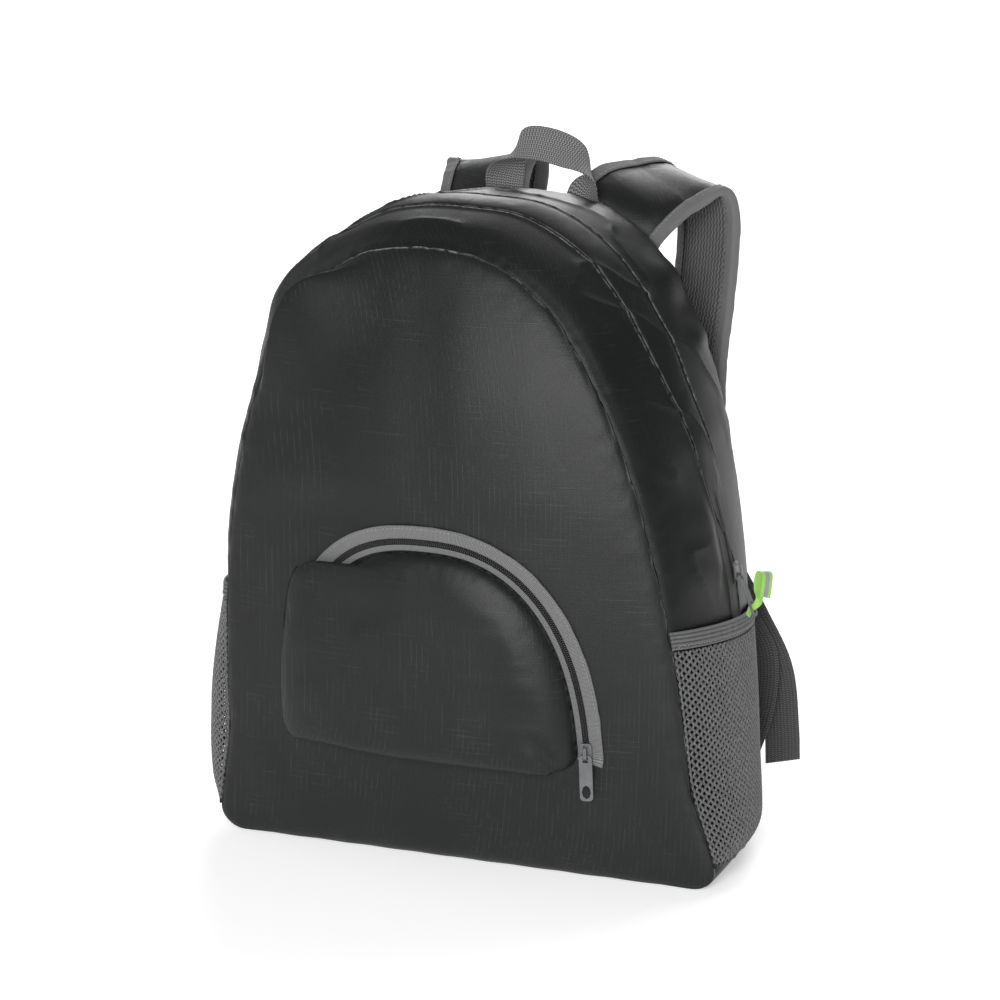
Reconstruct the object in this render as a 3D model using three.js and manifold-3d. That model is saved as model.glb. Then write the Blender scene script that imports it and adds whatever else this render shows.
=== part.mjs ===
// A packable backpack in thin ripstop cloth, stuffed and standing on its base.
// Millimetres, +Z up. The front faces -Y, the back panel +Y, and the origin is the middle of the base.
import * as THREE from "three";
import { mergeVertices } from "three/addons/utils/BufferGeometryUtils.js";
import Module from "manifold-3d";

const wasm = await Module();
wasm.setup();

const seamGap = 0.3;

// The stuffed shell: two arched panels joined by a gusset that bulges between them.
const body = {
  halfWidth: 160, // of the front panel, seam to seam
  backHalfWidth: 151,
  height: 400, // of the front panel's arch
  depth: 134, // front seam to back seam at mid height
  cornerRadius: 15, // of the base corners
  cloth: 1.6, // wall of the shell cloth
  frontPuff: 24, // how far the stuffing pushes the front panel forward
  backPuff: 7,
  gussetBulge: 15, // how far the gusset swells outwards
  leftFold: 13, // how far the puffed fold on its left shoulder stands out further
  foldHeight: 348,
  foldSpread: 26,
  shoulderRise: 16, // how much higher the back seam's arch stands
  lean: 22, // how far the top of the front panel sags to one side
  rightFlare: 14, // how far the front base corners are pushed out
  leftFlare: 12,
};

// How square the arches are: the powers of their superellipses.
const frontArch = { right: { top: 2.35, side: 2.25 }, left: { top: 2.6, side: 2.4 } };
const pocketArch = { right: { top: 2.4, side: 2.4 }, left: { top: 2.6, side: 2.6 } };
const backArch = { right: { top: 2.9, side: 2.6 }, left: { top: 2.55, side: 2.4 } };

// Shares of the height over which the shell changes.
const shellShares = {
  centre: 0.42, // middle of the panels
  baseDepth: 0.92,
  bellyDepth: 0.09, // added at mid height
  topTuck: 0.09, // taken off at the top
  flareTop: 0.2,
  bulgeStart: 0,
  bulgeFull: 0.08,
  bulgeSkew: 0.8, // below 1 the gusset swells most in front of its middle
};

const mainZip = {
  endHeight: 175, // where it stops on both sides
  band: 25, // width of the strip between the two gusset seams
  coilWidth: 5,
  coilHeight: 1.8,
  apexPlace: 0.3, // its front seam as a share of the gusset's depth, at the top
  endPlace: 0.5, // and at the ends
};

const sideNet = {
  lowHeight: 17,
  clearance: 0.6, // between it and the gusset that it lies on
  seamInset: 1.5, // from the front and back seams
  frontHeight: 169, // its slanting top edge, at the front seam
  backHeight: 150, // and at the back seam
  wall: 2,
  bindingWidth: 12,
  bindingWall: 2,
  right: { bulge: 7, bindingBulge: 4 }, // how far the net and its binding swell
  left: { bulge: 21, bindingBulge: 1.5 },
};

const pocket = {
  halfWidth: 91, // of the cloth face, without its zipper
  height: 138,
  bottom: 74, // above the floor
  cornerRadius: 14,
  overhang: 30, // how far it bulges over its own seam on the left
  underhang: 5, // and along its foot
  seamInset: 0.7, // how far its seam lies inside the zipper
  leftInset: 4, // and how far under the overhang
  stand: 19, // how far it stands off the front panel at its foot
  topStand: 11,
  cloth: 1.6,
};

const pocketZip = {
  innerTape: 3.6,
  coil: 3.4,
  outerTape: 8.5,
  tapeWall: 0.9,
  coilHeight: 2,
  stopRow: -5, // the zipper ends this far above the pocket's lower corners
};

const slider = {
  width: 8,
  length: 12,
  plate: 1.3,
  bridgeWidth: 2.4,
  bridgeLength: 9,
  bridgeWall: 1.2,
  corner: 2,
};

const puller = {
  length: 30,
  width: 8.6,
  wall: 1.2,
  bar: 1.3,
  eyeLength: 3.4,
  eyeWidth: 3.4,
  ringLength: 9,
  rim: 1.4,
  corner: 2.6,
  clearance: 0.4, // between its bar and the slider's bridge
  mainLift: 14, // degrees that the main one leans out over the net pocket's edge
  pocketLift: 6, // degrees that the pocket's one leans off the cloth to hang plumb
};
const ribbon = { width: 8, throat: 4, wall: 0.8, reach: 19 };

const handle = {
  web: 25,
  wall: 1.6,
  footSpacing: 56,
  footDrop: 19,
  rise: 35,
  lean: 6, // how far its crest leans over the bag
};

const carryCentre = 7; // middle of the handle and the straps, across the bag

const strap = {
  width: 66,
  rootX: 50, // middle of its sewn end, from the carrying middle
  rootDrop: 13, // its sewn end lies this far below the back seam's arch
  archRise: 21, // of its bend above the sewn end's top
  archBack: 60, // how far that bend stands behind the back panel
  endHeight: 212,
  spread: 54, // how far its lower end lies further out than its sewn end
  face: 1.5,
  mesh: 2.2,
  layerGap: 0.5, // between the face and the mesh, and the bindings and both
  bindingWidth: 8,
  bindingWall: 0.8,
  endShare: 0.5, // width left at its lower end
  rightSeat: 0.6, // how far its sewn end stands off the back panel, over the handle's foot
  leftSeat: 1.25,
};

const lock = {
  width: 35,
  height: 27,
  wall: 3,
  topBar: 4,
  loopSlot: 5,
  midBar: 3,
  webSlot: 6,
  sideBar: 4,
  corner: 2.5,
  loopReach: 14, // from the strap's end to its top edge
};

const web = {
  width: 24,
  loopWidth: 25, // of the loop that carries the lock
  wall: 1.2,
  clearance: 0.5,
  turn: 2, // depth of its bends round the lock's bars
  tailEnd: 33,
  tailSpread: 37, // how far the free tail's end swings out
  tailBack: 17, // and back
  anchorX: 130,
  anchorHeight: 24,
  anchorPuff: 0.1,
  bow: 22, // how far the load-carrying stretch bows out
  bowBack: 11, // and back
  lead: 6, // straight stretch below the lock
};

const colours = {
  ripstop: 0x343735,
  greyTape: 0x636363,
  net: 0x5a5a5a,
  webbing: 0x4d4d4f,
  blackCoil: 0x141414,
  sliderPaint: 0x5f6062,
  green: 0x86c440,
  lockPlastic: 0x1d1d1f,
};

const { lerp, smoothstep, clamp } = THREE.MathUtils;
const vector = (x, y, z) => new THREE.Vector3(x, y, z);
const bag = new THREE.Group();

function addMesh(name, geometry, colour, roughness = 0.8, metalness = 0, parent = bag) {
  const finish = new THREE.MeshStandardMaterial({ color: colour, roughness, metalness });
  const mesh = new THREE.Mesh(geometry, finish);
  mesh.name = name;
  parent.add(mesh);
  return mesh;
}

// Welds a soup of quads into one closed mesh that faces outwards.
function closedGeometry(positions, quads) {
  const soup = new THREE.BufferGeometry();
  const numbers = positions.flatMap((p) => [p.x, p.y, p.z]);
  soup.setAttribute("position", new THREE.Float32BufferAttribute(numbers, 3));
  // Each quad is split along its shorter diagonal, so that facing walls fold alike.
  const split = ([a, b, c, d]) => {
    if (d === undefined) return [a, b, c];
    const [p, q, r, s] = [a, b, c, d].map((i) => positions[i]);
    const even = p.distanceTo(r) <= q.distanceTo(s) + 1e-6;
    return even ? [a, b, c, a, c, d] : [a, b, d, b, c, d];
  };
  soup.setIndex(quads.flatMap(split));
  const welded = mergeVertices(soup, 1e-3);
  const corner = (i) => new THREE.Vector3().fromBufferAttribute(welded.attributes.position, i);
  const kept = [];
  let volume = 0;
  for (let i = 0; i < welded.index.count; i += 3) {
    const [a, b, c] = [0, 1, 2].map((k) => welded.index.getX(i + k));
    if (a === b || b === c || c === a) continue;
    kept.push([a, b, c]);
    volume += corner(a).dot(corner(b).cross(corner(c)));
  }
  welded.setIndex(kept.flatMap(([a, b, c]) => (volume < 0 ? [a, c, b] : [a, b, c])));
  welded.computeVertexNormals();
  return welded;
}

// A cloth wall between two surfaces of (u, v), each from 0 to 1, closed by its rims.
function wall(outer, inner, columns, rows, loops = false) {
  const across = columns + 1;
  const positions = [outer, inner].flatMap((surface) =>
    Array.from({ length: (rows + 1) * across }, (_, k) =>
      surface((k % across) / columns, Math.floor(k / across) / rows),
    ),
  );
  const inside = (rows + 1) * across;
  const quads = [];
  for (let j = 0; j < rows; j++) {
    for (let i = 0; i < columns; i++) {
      const a = j * across + i;
      const [b, c, d] = [a + 1, a + across + 1, a + across];
      quads.push([a, b, c, d], [d + inside, c + inside, b + inside, a + inside]);
    }
    if (!loops) {
      const [near, far] = [j * across, j * across + columns];
      quads.push([near, near + across, near + across + inside, near + inside]);
      quads.push([far, far + inside, far + across + inside, far + across]);
    }
  }
  for (let i = 0; i < columns; i++) {
    const top = rows * across + i;
    quads.push([i, i + inside, i + 1 + inside, i + 1], [top, top + 1, top + 1 + inside, top + inside]);
  }
  return closedGeometry(positions, quads);
}

// Sweeps a section of [across, through] points along a route with its own width directions.
// frame(u) gives the centre, the width direction and the face direction at share u of the route.
function sweep(frame, section, steps) {
  const positions = [];
  for (let i = 0; i <= steps; i++) {
    const { centre, side, face } = frame(i / steps);
    for (const [across, through] of section(i / steps)) {
      positions.push(centre.clone().addScaledVector(side, across).addScaledVector(face, through));
    }
  }
  const outline = section(0).map(([x, y]) => new THREE.Vector2(x, y));
  const count = outline.length;
  const quads = [];
  for (let i = 0; i < steps; i++) {
    for (let k = 0; k < count; k++) {
      const next = (k + 1) % count;
      quads.push([i * count + k, i * count + next, (i + 1) * count + next, (i + 1) * count + k]);
    }
  }
  const far = steps * count;
  const turned = THREE.ShapeUtils.isClockWise(outline);
  for (const [a, b, c] of THREE.ShapeUtils.triangulateShape(outline, [])) {
    if (turned) quads.push([a, b, c], [far + a, far + c, far + b]);
    else quads.push([a, c, b], [far + a, far + b, far + c]);
  }
  return closedGeometry(positions, quads);
}

// A route through stations that each hold a place and a width direction.
function route(stations) {
  const places = new THREE.CatmullRomCurve3(stations.map((s) => s.place), false, "centripetal");
  const sides = new THREE.CatmullRomCurve3(stations.map((s) => s.side), false, "catmullrom");
  return (u) => {
    const along = places.getTangent(u);
    const raw = sides.getPoint(u);
    const side = raw.addScaledVector(along, -raw.dot(along)).normalize();
    return { centre: places.getPoint(u), side, face: vector().crossVectors(along, side) };
  };
}

const flat = (width, thickness) => () => [
  [-width / 2, -thickness / 2],
  [width / 2, -thickness / 2],
  [width / 2, thickness / 2],
  [-width / 2, thickness / 2],
];

// An arch: flat base, round corners, then superellipses that meet at the apex.
function archOutline(halfWidth, height, corner, powers, cornerSteps = 8, sideSteps = 120) {
  const half = ({ top, side }) => {
    const points = [new THREE.Vector2(0, 0), new THREE.Vector2(halfWidth - corner, 0)];
    for (let i = 1; i <= cornerSteps; i++) {
      const turn = (Math.PI / 2) * (i / cornerSteps - 1);
      const x = halfWidth - corner + corner * Math.cos(turn);
      points.push(new THREE.Vector2(x, corner + corner * Math.sin(turn)));
    }
    for (let i = 1; i < sideSteps; i++) {
      const turn = (Math.PI / 2) * (i / sideSteps);
      const x = halfWidth * Math.cos(turn) ** (2 / top);
      points.push(new THREE.Vector2(x, corner + (height - corner) * Math.sin(turn) ** (2 / side)));
    }
    return points;
  };
  const left = half(powers.left).map((p) => new THREE.Vector2(-p.x, p.y));
  const apex = new THREE.Vector2(0, height);
  return new THREE.Path().setFromPoints([...half(powers.right), apex, ...left.reverse()]);
}

const wrap = (t) => ((t % 1) + 1) % 1;

// The point at share t round an outline, and the direction out of it there.
function outlineAt(outline, t) {
  const step = 1e-3;
  const along = outline.getPoint(wrap(t + step)).sub(outline.getPoint(wrap(t - step))).normalize();
  return { point: outline.getPoint(wrap(t)), out: new THREE.Vector2(along.y, -along.x) };
}

const frontOutline = archOutline(body.halfWidth, body.height, body.cornerRadius, frontArch);
const backOutline = archOutline(body.backHalfWidth, body.height, body.cornerRadius, backArch);

// Spreads columns round an arch so that its corners get some of their own. Columns count both ways
// from the middle of the base, up to the share called last.
function columnSpread(outline, halfWidth, corner, { base, turn, side }, last = 0.5) {
  const cornerStart = (halfWidth - corner) / outline.getLength();
  const cornerEnd = cornerStart + ((Math.PI / 2) * corner) / outline.getLength();
  const total = 2 * (base + turn + side);
  const share = (u) => {
    const column = (u - 0.5) * total;
    const place = Math.abs(column);
    let t = lerp(0, cornerStart, place / base);
    if (place > base) t = lerp(cornerStart, cornerEnd, (place - base) / turn);
    if (place > base + turn) t = lerp(cornerEnd, last, (place - base - turn) / side);
    return Math.sign(column) * t;
  };
  return { total, share };
}

const { halfWidth, cornerRadius } = body;
const panelColumns = columnSpread(frontOutline, halfWidth, cornerRadius, { base: 3, turn: 3, side: 15 });

// The share round the front outline where its right side reaches a height.
function shareAtHeight(height) {
  let [low, high] = [0.1, 0.5];
  for (let i = 0; i < 30; i++) {
    const middle = (low + high) / 2;
    if (frontOutline.getPoint(middle).y < height) low = middle;
    else high = middle;
  }
  return low;
}

function halfDepth(z) {
  const h = clamp(z / body.height, 0, 1);
  const swell = shellShares.baseDepth + shellShares.bellyDepth * Math.sin(Math.PI * h);
  return (body.depth / 2) * (swell - shellShares.topTuck * smoothstep(h, 0.75, 1));
}

// Sideways sag of the shell, which fades towards the back, and the pushed-out base corners.
function sway(x, z, v) {
  const flare = x > 0 ? body.rightFlare : body.leftFlare;
  const low = 1 - smoothstep(z / body.height, 0, shellShares.flareTop);
  return ((1 - v ** 2) * flare * low * x) / body.halfWidth - ((1 - v) * body.lean * z) / body.height;
}

// How full the swell across the gusset is at v: none at the seams, 1 a little in front of the middle.
const swellAcross = (v) => Math.sin(Math.PI * clamp(v, 0, 1) ** shellShares.bulgeSkew);

// A point of the gusset: t round the arch, v from the front seam to the back one, moved outwards.
function gussetPoint(t, v, outwards = 0) {
  const front = outlineAt(frontOutline, t);
  const back = outlineAt(backOutline, t);
  const point = front.point.lerp(back.point, v);
  const out = front.out.lerp(back.out, v).normalize();
  const share = point.y / body.height;
  const swell = smoothstep(share, shellShares.bulgeStart, shellShares.bulgeFull);
  const round = swellAcross(v) ** 0.8;
  const fromFold = (point.y - body.foldHeight) / body.foldSpread;
  const fold = point.x < 0 ? body.leftFold * Math.exp(-(fromFold ** 2)) : 0;
  const bulge = (body.gussetBulge * swell + fold) * round;
  const x = point.x + out.x * (bulge + outwards);
  const z = point.y + out.y * (bulge + outwards) + body.shoulderRise * smoothstep(share, 0.5, 1) * v;
  return vector(x + sway(x, point.y, v), halfDepth(point.y) * (2 * v - 1), z);
}

// The front panel's reach to one side at a height.
function frontReach(z, powers) {
  const { halfWidth, cornerRadius: corner, height } = body;
  if (z < corner) return halfWidth - corner + Math.sqrt(Math.max(corner ** 2 - (corner - z) ** 2, 0));
  const share = clamp((z - corner) / (height - corner), 0, 1);
  return halfWidth * (1 - share ** powers.side) ** (1 / powers.top);
}

// A point of the front panel's outer face, moved off it by a stand-off.
function frontPoint(x, z, stand = 0) {
  const reach = frontReach(z, x > 0 ? frontArch.right : frontArch.left);
  const edge = Math.min(Math.abs(x) / Math.max(reach, 1), 1);
  const crown = (1 - edge ** 2.4) * Math.sin(Math.PI * clamp(z / body.height, 0, 1)) ** 0.6;
  const y = -halfDepth(z) - seamGap - body.cloth - body.frontPuff * crown - stand;
  return vector(x + sway(x, z, 0), y, z);
}

function frontPanel() {
  const middle = new THREE.Vector2(0, shellShares.centre * body.height);
  const at = (stand) => (u, r) => {
    const spot = middle.clone().lerp(frontOutline.getPoint(wrap(panelColumns.share(u))), r);
    return frontPoint(spot.x, spot.y, stand);
  };
  addMesh("front_panel", wall(at(0), at(-body.cloth), panelColumns.total, 6, true), colours.ripstop);
}

function backPoint(u, r, stand = 0) {
  const middle = new THREE.Vector2(0, shellShares.centre * body.height);
  const spot = middle.lerp(backOutline.getPoint(wrap(panelColumns.share(u))), r);
  const y = halfDepth(spot.y) + seamGap + body.backPuff * (1 - r ** 2.4) + stand;
  return vector(spot.x, y, spot.y + body.shoulderRise * smoothstep(spot.y / body.height, 0.5, 1));
}

// How far back the back panel's outer face stands at a height near the middle of its width.
function backFace(z) {
  const low = z - body.shoulderRise * smoothstep(z / body.height, 0.5, 1);
  const middle = shellShares.centre * body.height;
  const r = clamp(Math.abs(low - middle) / (body.height - middle), 0, 1);
  return halfDepth(low) + seamGap + body.cloth + body.backPuff * (1 - r ** 2.4);
}

function backPanel() {
  const at = (stand) => (u, r) => backPoint(u, r, stand);
  addMesh("back_panel", wall(at(body.cloth), at(0), panelColumns.total, 4, true), colours.ripstop);
}

const zipEnd = shareAtHeight(mainZip.endHeight);

// Where the main zipper's front seam runs in the gusset's depth, and how deep its band is.
function zipPlace(t) {
  const fromApex = Math.abs(t - 0.5) / (0.5 - zipEnd);
  return lerp(mainZip.apexPlace, mainZip.endPlace, smoothstep(fromApex, 0.45, 1));
}
const asDepth = (t, length) => length / (2 * halfDepth(frontOutline.getPoint(wrap(t)).y));

function gussetStrip(name, place, columns, rows, edges, colour, thickness = body.cloth, lift = 0) {
  const at = (outwards) => (u, v) => {
    const t = place(u);
    const [near, far] = edges(t);
    return gussetPoint(t, lerp(near, far, v), outwards);
  };
  addMesh(name, wall(at(lift), at(lift - thickness), columns, rows), colour);
}

function gusset() {
  const cut = seamGap / frontOutline.getLength();
  const upper = (u) => lerp(zipEnd + cut, 1 - zipEnd - cut, u);
  const gap = (t) => asDepth(t, seamGap);
  const zipBack = (t) => zipPlace(t) + asDepth(t, mainZip.band);
  const upperColumns = 30;
  gussetStrip("gusset_front", upper, upperColumns, 2, (t) => [0, zipPlace(t)], colours.ripstop);
  gussetStrip("gusset_rear", upper, upperColumns, 3, (t) => [zipBack(t), 1], colours.ripstop);
  const lower = columnSpread(frontOutline, halfWidth, cornerRadius, { base: 3, turn: 3, side: 8 }, zipEnd);
  gussetStrip("gusset_base", lower.share, lower.total, 4, () => [0, 1], colours.ripstop);
  const tape = (t) => [zipPlace(t) + gap(t), zipBack(t) - gap(t)];
  gussetStrip("main_zip_tape", upper, upperColumns, 2, tape, colours.blackCoil);
  const coil = (t) => {
    const middle = zipPlace(t) + asDepth(t, mainZip.band / 2);
    return [middle - asDepth(t, mainZip.coilWidth / 2), middle + asDepth(t, mainZip.coilWidth / 2)];
  };
  const lift = seamGap + mainZip.coilHeight;
  gussetStrip("main_zip_coil", upper, upperColumns, 1, coil, colours.blackCoil, mainZip.coilHeight, lift);
}

// A net pocket on one side: its net swells off the gusset, under a slanting elastic binding.
function netPocket(name, onSide, { bulge, bindingBulge }) {
  const low = shareAtHeight(sideNet.lowHeight);
  const top = (v) => lerp(shareAtHeight(sideNet.frontHeight), shareAtHeight(sideNet.backHeight), v);
  const perimeter = frontOutline.getLength();
  const inset = asDepth(low, sideNet.seamInset);
  const depthAt = (v) => lerp(inset, 1 - inset, v);
  const net = (extra) => (u, v) => {
    const place = depthAt(v);
    const t = lerp(low, top(place) - sideNet.bindingWidth / perimeter, u ** 1.3);
    const rim = lerp(1, bindingBulge / bulge, u ** 3);
    const swell = bulge * rim * swellAcross(v) ** 0.7 * Math.sin(Math.min(u * 2.6, Math.PI / 2));
    return gussetPoint(onSide(t), place, sideNet.clearance + swell + extra);
  };
  addMesh(name, wall(net(sideNet.wall), net(0), 9, 10), colours.net);
  const binding = (extra) => (u, v) => {
    const place = depthAt(v);
    const t = top(place) + (lerp(-1, 0, u) * (sideNet.bindingWidth - seamGap)) / perimeter;
    const swell = bindingBulge * swellAcross(v) ** 0.7;
    return gussetPoint(onSide(t), place, sideNet.clearance + swell + extra);
  };
  addMesh(`${name}_binding`, wall(binding(sideNet.bindingWall), binding(0), 2, 10), colours.greyTape);
}

const pocketOutline = archOutline(pocket.halfWidth, pocket.height, pocket.cornerRadius, pocketArch);

// A point beside the pocket's outline, in the front panel's own surface, at a stand-off.
function pocketEdge(s, outwards, stand) {
  const { point, out } = outlineAt(pocketOutline, s);
  return frontPoint(point.x + out.x * outwards, pocket.bottom + point.y + out.y * outwards, stand);
}

// Shares round the pocket's outline between which its zipper runs.
const pocketCornerEnd = pocket.halfWidth + (Math.PI / 2 - 1) * pocket.cornerRadius;
const pocketZipStart = (pocketCornerEnd + pocketZip.stopRow) / pocketOutline.getLength();

const pocketColumns = columnSpread(pocketOutline, pocket.halfWidth, pocket.cornerRadius, {
  base: 3,
  turn: 3,
  side: 12,
});

function pocketFace() {
  const middle = new THREE.Vector2(0, pocket.height * 0.4);
  const at = (shrink) => (u, r) => {
    const rim = outlineAt(pocketOutline, pocketColumns.share(u));
    const rise = r ** 0.7;
    const bulge = smoothstep(rise, 0.3, 0.85) * (1 - smoothstep(rise, 0.9, 1));
    const leftwards = smoothstep(-rim.point.x / pocket.halfWidth, 0.35, 0.9);
    const beside = leftwards * (1 - smoothstep(rim.point.y / pocket.height, 0.8, 1));
    const over = new THREE.Vector2(-pocket.overhang * beside, -pocket.underhang * Math.max(-rim.out.y, 0));
    const inset = shrink + lerp(pocket.seamInset, pocket.leftInset, beside);
    const edge = rim.point.clone().addScaledVector(rim.out, -inset);
    const spot = middle.clone().lerp(edge, rise).addScaledVector(over, bulge);
    const high = smoothstep(spot.y / pocket.height, 0, 1);
    const tall = lerp(pocket.stand, pocket.topStand, high) - shrink;
    const dome = tall * Math.max(1 - rise ** 7, 0) ** 0.45;
    return frontPoint(spot.x, pocket.bottom + spot.y, seamGap + dome);
  };
  addMesh("pocket_panel", wall(at(0), at(pocket.cloth), pocketColumns.total, 6, true), colours.ripstop);
}

function pocketStrip(name, from, width, wallHeight, lift, colour, rows = 1) {
  const at = (stand) => (u, v) =>
    pocketEdge(lerp(pocketZipStart, 1 - pocketZipStart, u), lerp(from, from + width, v), stand);
  addMesh(name, wall(at(lift + wallHeight), at(lift), 30, rows), colour);
}

function pocketZipper() {
  const { innerTape, coil, outerTape, tapeWall, coilHeight } = pocketZip;
  pocketStrip("pocket_zip_inner_tape", seamGap, innerTape, tapeWall, seamGap, colours.greyTape);
  pocketStrip("pocket_zip_coil", 2 * seamGap + innerTape, coil, coilHeight, seamGap, colours.blackCoil);
  const outerFrom = 3 * seamGap + innerTape + coil;
  pocketStrip("pocket_zip_outer_tape", outerFrom, outerTape, tapeWall, seamGap, colours.greyTape);
}

function asManifold(geometry) {
  const bare = geometry.index ? geometry.toNonIndexed() : geometry.clone();
  bare.deleteAttribute("normal");
  bare.deleteAttribute("uv");
  const merged = mergeVertices(bare, 1e-4);
  return new wasm.Manifold(
    new wasm.Mesh({
      numProp: 3,
      vertProperties: merged.attributes.position.array,
      triVerts: new Uint32Array(merged.index.array),
    }),
  );
}

function asGeometry(solid) {
  const mesh = solid.getMesh();
  const geometry = new THREE.BufferGeometry();
  geometry.setAttribute("position", new THREE.BufferAttribute(new Float32Array(mesh.vertProperties), 3));
  geometry.setIndex(new THREE.BufferAttribute(new Uint32Array(mesh.triVerts), 1));
  geometry.computeVertexNormals();
  return geometry;
}

function roundedRectangle(width, low, high, radius) {
  const shape = new THREE.Shape();
  const half = width / 2;
  shape.moveTo(-half + radius, low);
  shape.lineTo(half - radius, low);
  shape.absarc(half - radius, low + radius, radius, -Math.PI / 2, 0);
  shape.lineTo(half, high - radius);
  shape.absarc(half - radius, high - radius, radius, 0, Math.PI / 2);
  shape.lineTo(-half + radius, high);
  shape.absarc(-half + radius, high - radius, radius, Math.PI / 2, Math.PI);
  shape.lineTo(-half, low + radius);
  shape.absarc(-half + radius, low + radius, radius, Math.PI, 1.5 * Math.PI);
  return shape;
}

// Heights above the slider's seat: its plate, then the puller's bar in the middle of the bridge's hollow.
const barHeight = slider.plate + puller.clearance + puller.bar / 2;
const bridgeHollow = puller.bar + 2 * puller.clearance;
const barPlace = slider.bridgeLength / 2 - slider.bridgeWall - puller.clearance - puller.bar / 2;

// Local frame of a slider: x across the zipper, y along it towards its closed end, z out of the cloth.
function sliderGeometry() {
  const half = slider.length / 2;
  const plate = new THREE.ExtrudeGeometry(roundedRectangle(slider.width, -half, half, slider.corner), {
    depth: slider.plate,
    bevelEnabled: false,
    curveSegments: 3,
  });
  const outerHalf = slider.bridgeLength / 2;
  const top = bridgeHollow + slider.bridgeWall;
  const innerHalf = outerHalf - slider.bridgeWall;
  const sink = slider.plate / 2;
  const side = new THREE.Shape();
  side.moveTo(-outerHalf, -sink);
  side.lineTo(-innerHalf, -sink);
  side.lineTo(-innerHalf, bridgeHollow);
  side.lineTo(innerHalf, bridgeHollow);
  side.lineTo(innerHalf, -sink);
  side.lineTo(outerHalf, -sink);
  side.lineTo(outerHalf, top - slider.bridgeWall);
  side.lineTo(outerHalf - slider.bridgeWall, top);
  side.lineTo(-outerHalf + slider.bridgeWall, top);
  side.lineTo(-outerHalf, top - slider.bridgeWall);
  const bridge = new THREE.ExtrudeGeometry(side, { depth: slider.bridgeWidth, bevelEnabled: false });
  bridge.translate(0, 0, -slider.bridgeWidth / 2).rotateY(Math.PI / 2).rotateX(Math.PI / 2);
  bridge.translate(0, 0, slider.plate);
  return asGeometry(asManifold(plate).add(asManifold(bridge)));
}

// Places along the puller, counted from the middle of its bar.
const pullerStart = -puller.bar / 2;
const ringMiddle = pullerStart + puller.length - puller.ringLength / 2 - puller.rim;

// The puller lies along y from its own bar, which is the hinge, with an eye for the bridge and a ring
// at its foot.
function pullerGeometry() {
  const shape = roundedRectangle(puller.width, pullerStart, pullerStart + puller.length, puller.corner);
  const eye = new THREE.Path();
  const eyeStart = puller.bar / 2;
  eye.moveTo(-puller.eyeWidth / 2, eyeStart);
  eye.lineTo(-puller.eyeWidth / 2, eyeStart + puller.eyeLength);
  eye.lineTo(puller.eyeWidth / 2, eyeStart + puller.eyeLength);
  eye.lineTo(puller.eyeWidth / 2, eyeStart);
  const ring = new THREE.Path();
  ring.absellipse(0, ringMiddle, puller.width / 2 - puller.rim, puller.ringLength / 2, 0, 2 * Math.PI, true);
  shape.holes.push(eye, ring);
  const tab = new THREE.ExtrudeGeometry(shape, { depth: puller.wall, bevelEnabled: false, curveSegments: 4 });
  return tab.translate(0, 0, -puller.wall / 2);
}

// A slider on a zipper, with its puller hung on the bridge's lower end.
function zipSlider(name, seat, along, out, lift) {
  const unit = new THREE.Group();
  const y = along.clone().addScaledVector(out, -along.dot(out)).normalize();
  const x = vector().crossVectors(y, out);
  unit.quaternion.setFromRotationMatrix(new THREE.Matrix4().makeBasis(x, y, out));
  unit.position.copy(seat);
  addMesh(`${name}_slider`, sliderGeometry(), colours.sliderPaint, 0.45, 0.6, unit);
  const tab = addMesh(`${name}_puller`, pullerGeometry(), colours.sliderPaint, 0.45, 0.6, unit);
  tab.position.set(0, barPlace, barHeight);
  tab.rotation.x = THREE.MathUtils.degToRad(lift);
  bag.add(unit);
  return tab;
}

// A small step along a zipper, as a share of its outline, from which its direction is read.
const nudge = 0.004;

function pocketSlider() {
  const across = 2 * seamGap + pocketZip.innerTape + pocketZip.coil / 2;
  const lift = 2 * seamGap + pocketZip.coilHeight;
  const place = pocketZipStart + slider.length / 2 / pocketOutline.getLength();
  const seat = pocketEdge(place, across, lift);
  const along = pocketEdge(place - nudge, across, lift).sub(pocketEdge(place + nudge, across, lift));
  const aside = pocketEdge(place, across + 1, lift).sub(seat);
  const out = vector().crossVectors(aside, along).normalize();
  zipSlider("pocket", seat, along.normalize(), out.y > 0 ? out.negate() : out, puller.pocketLift);
}

function mainSlider() {
  const t = zipEnd + slider.length / 2 / frontOutline.getLength() + nudge;
  const middle = zipPlace(t) + asDepth(t, mainZip.band / 2);
  const lift = 2 * seamGap + mainZip.coilHeight;
  const seat = gussetPoint(t, middle, lift);
  const along = gussetPoint(t - nudge, middle, lift).sub(gussetPoint(t + nudge, middle, lift)).normalize();
  const aside = gussetPoint(t, middle + nudge, lift).sub(seat);
  const out = vector().crossVectors(aside, along).normalize();
  const tab = zipSlider("main", seat, along, out.x < 0 ? out.negate() : out, puller.mainLift);
  pullRibbon(tab);
}

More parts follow.
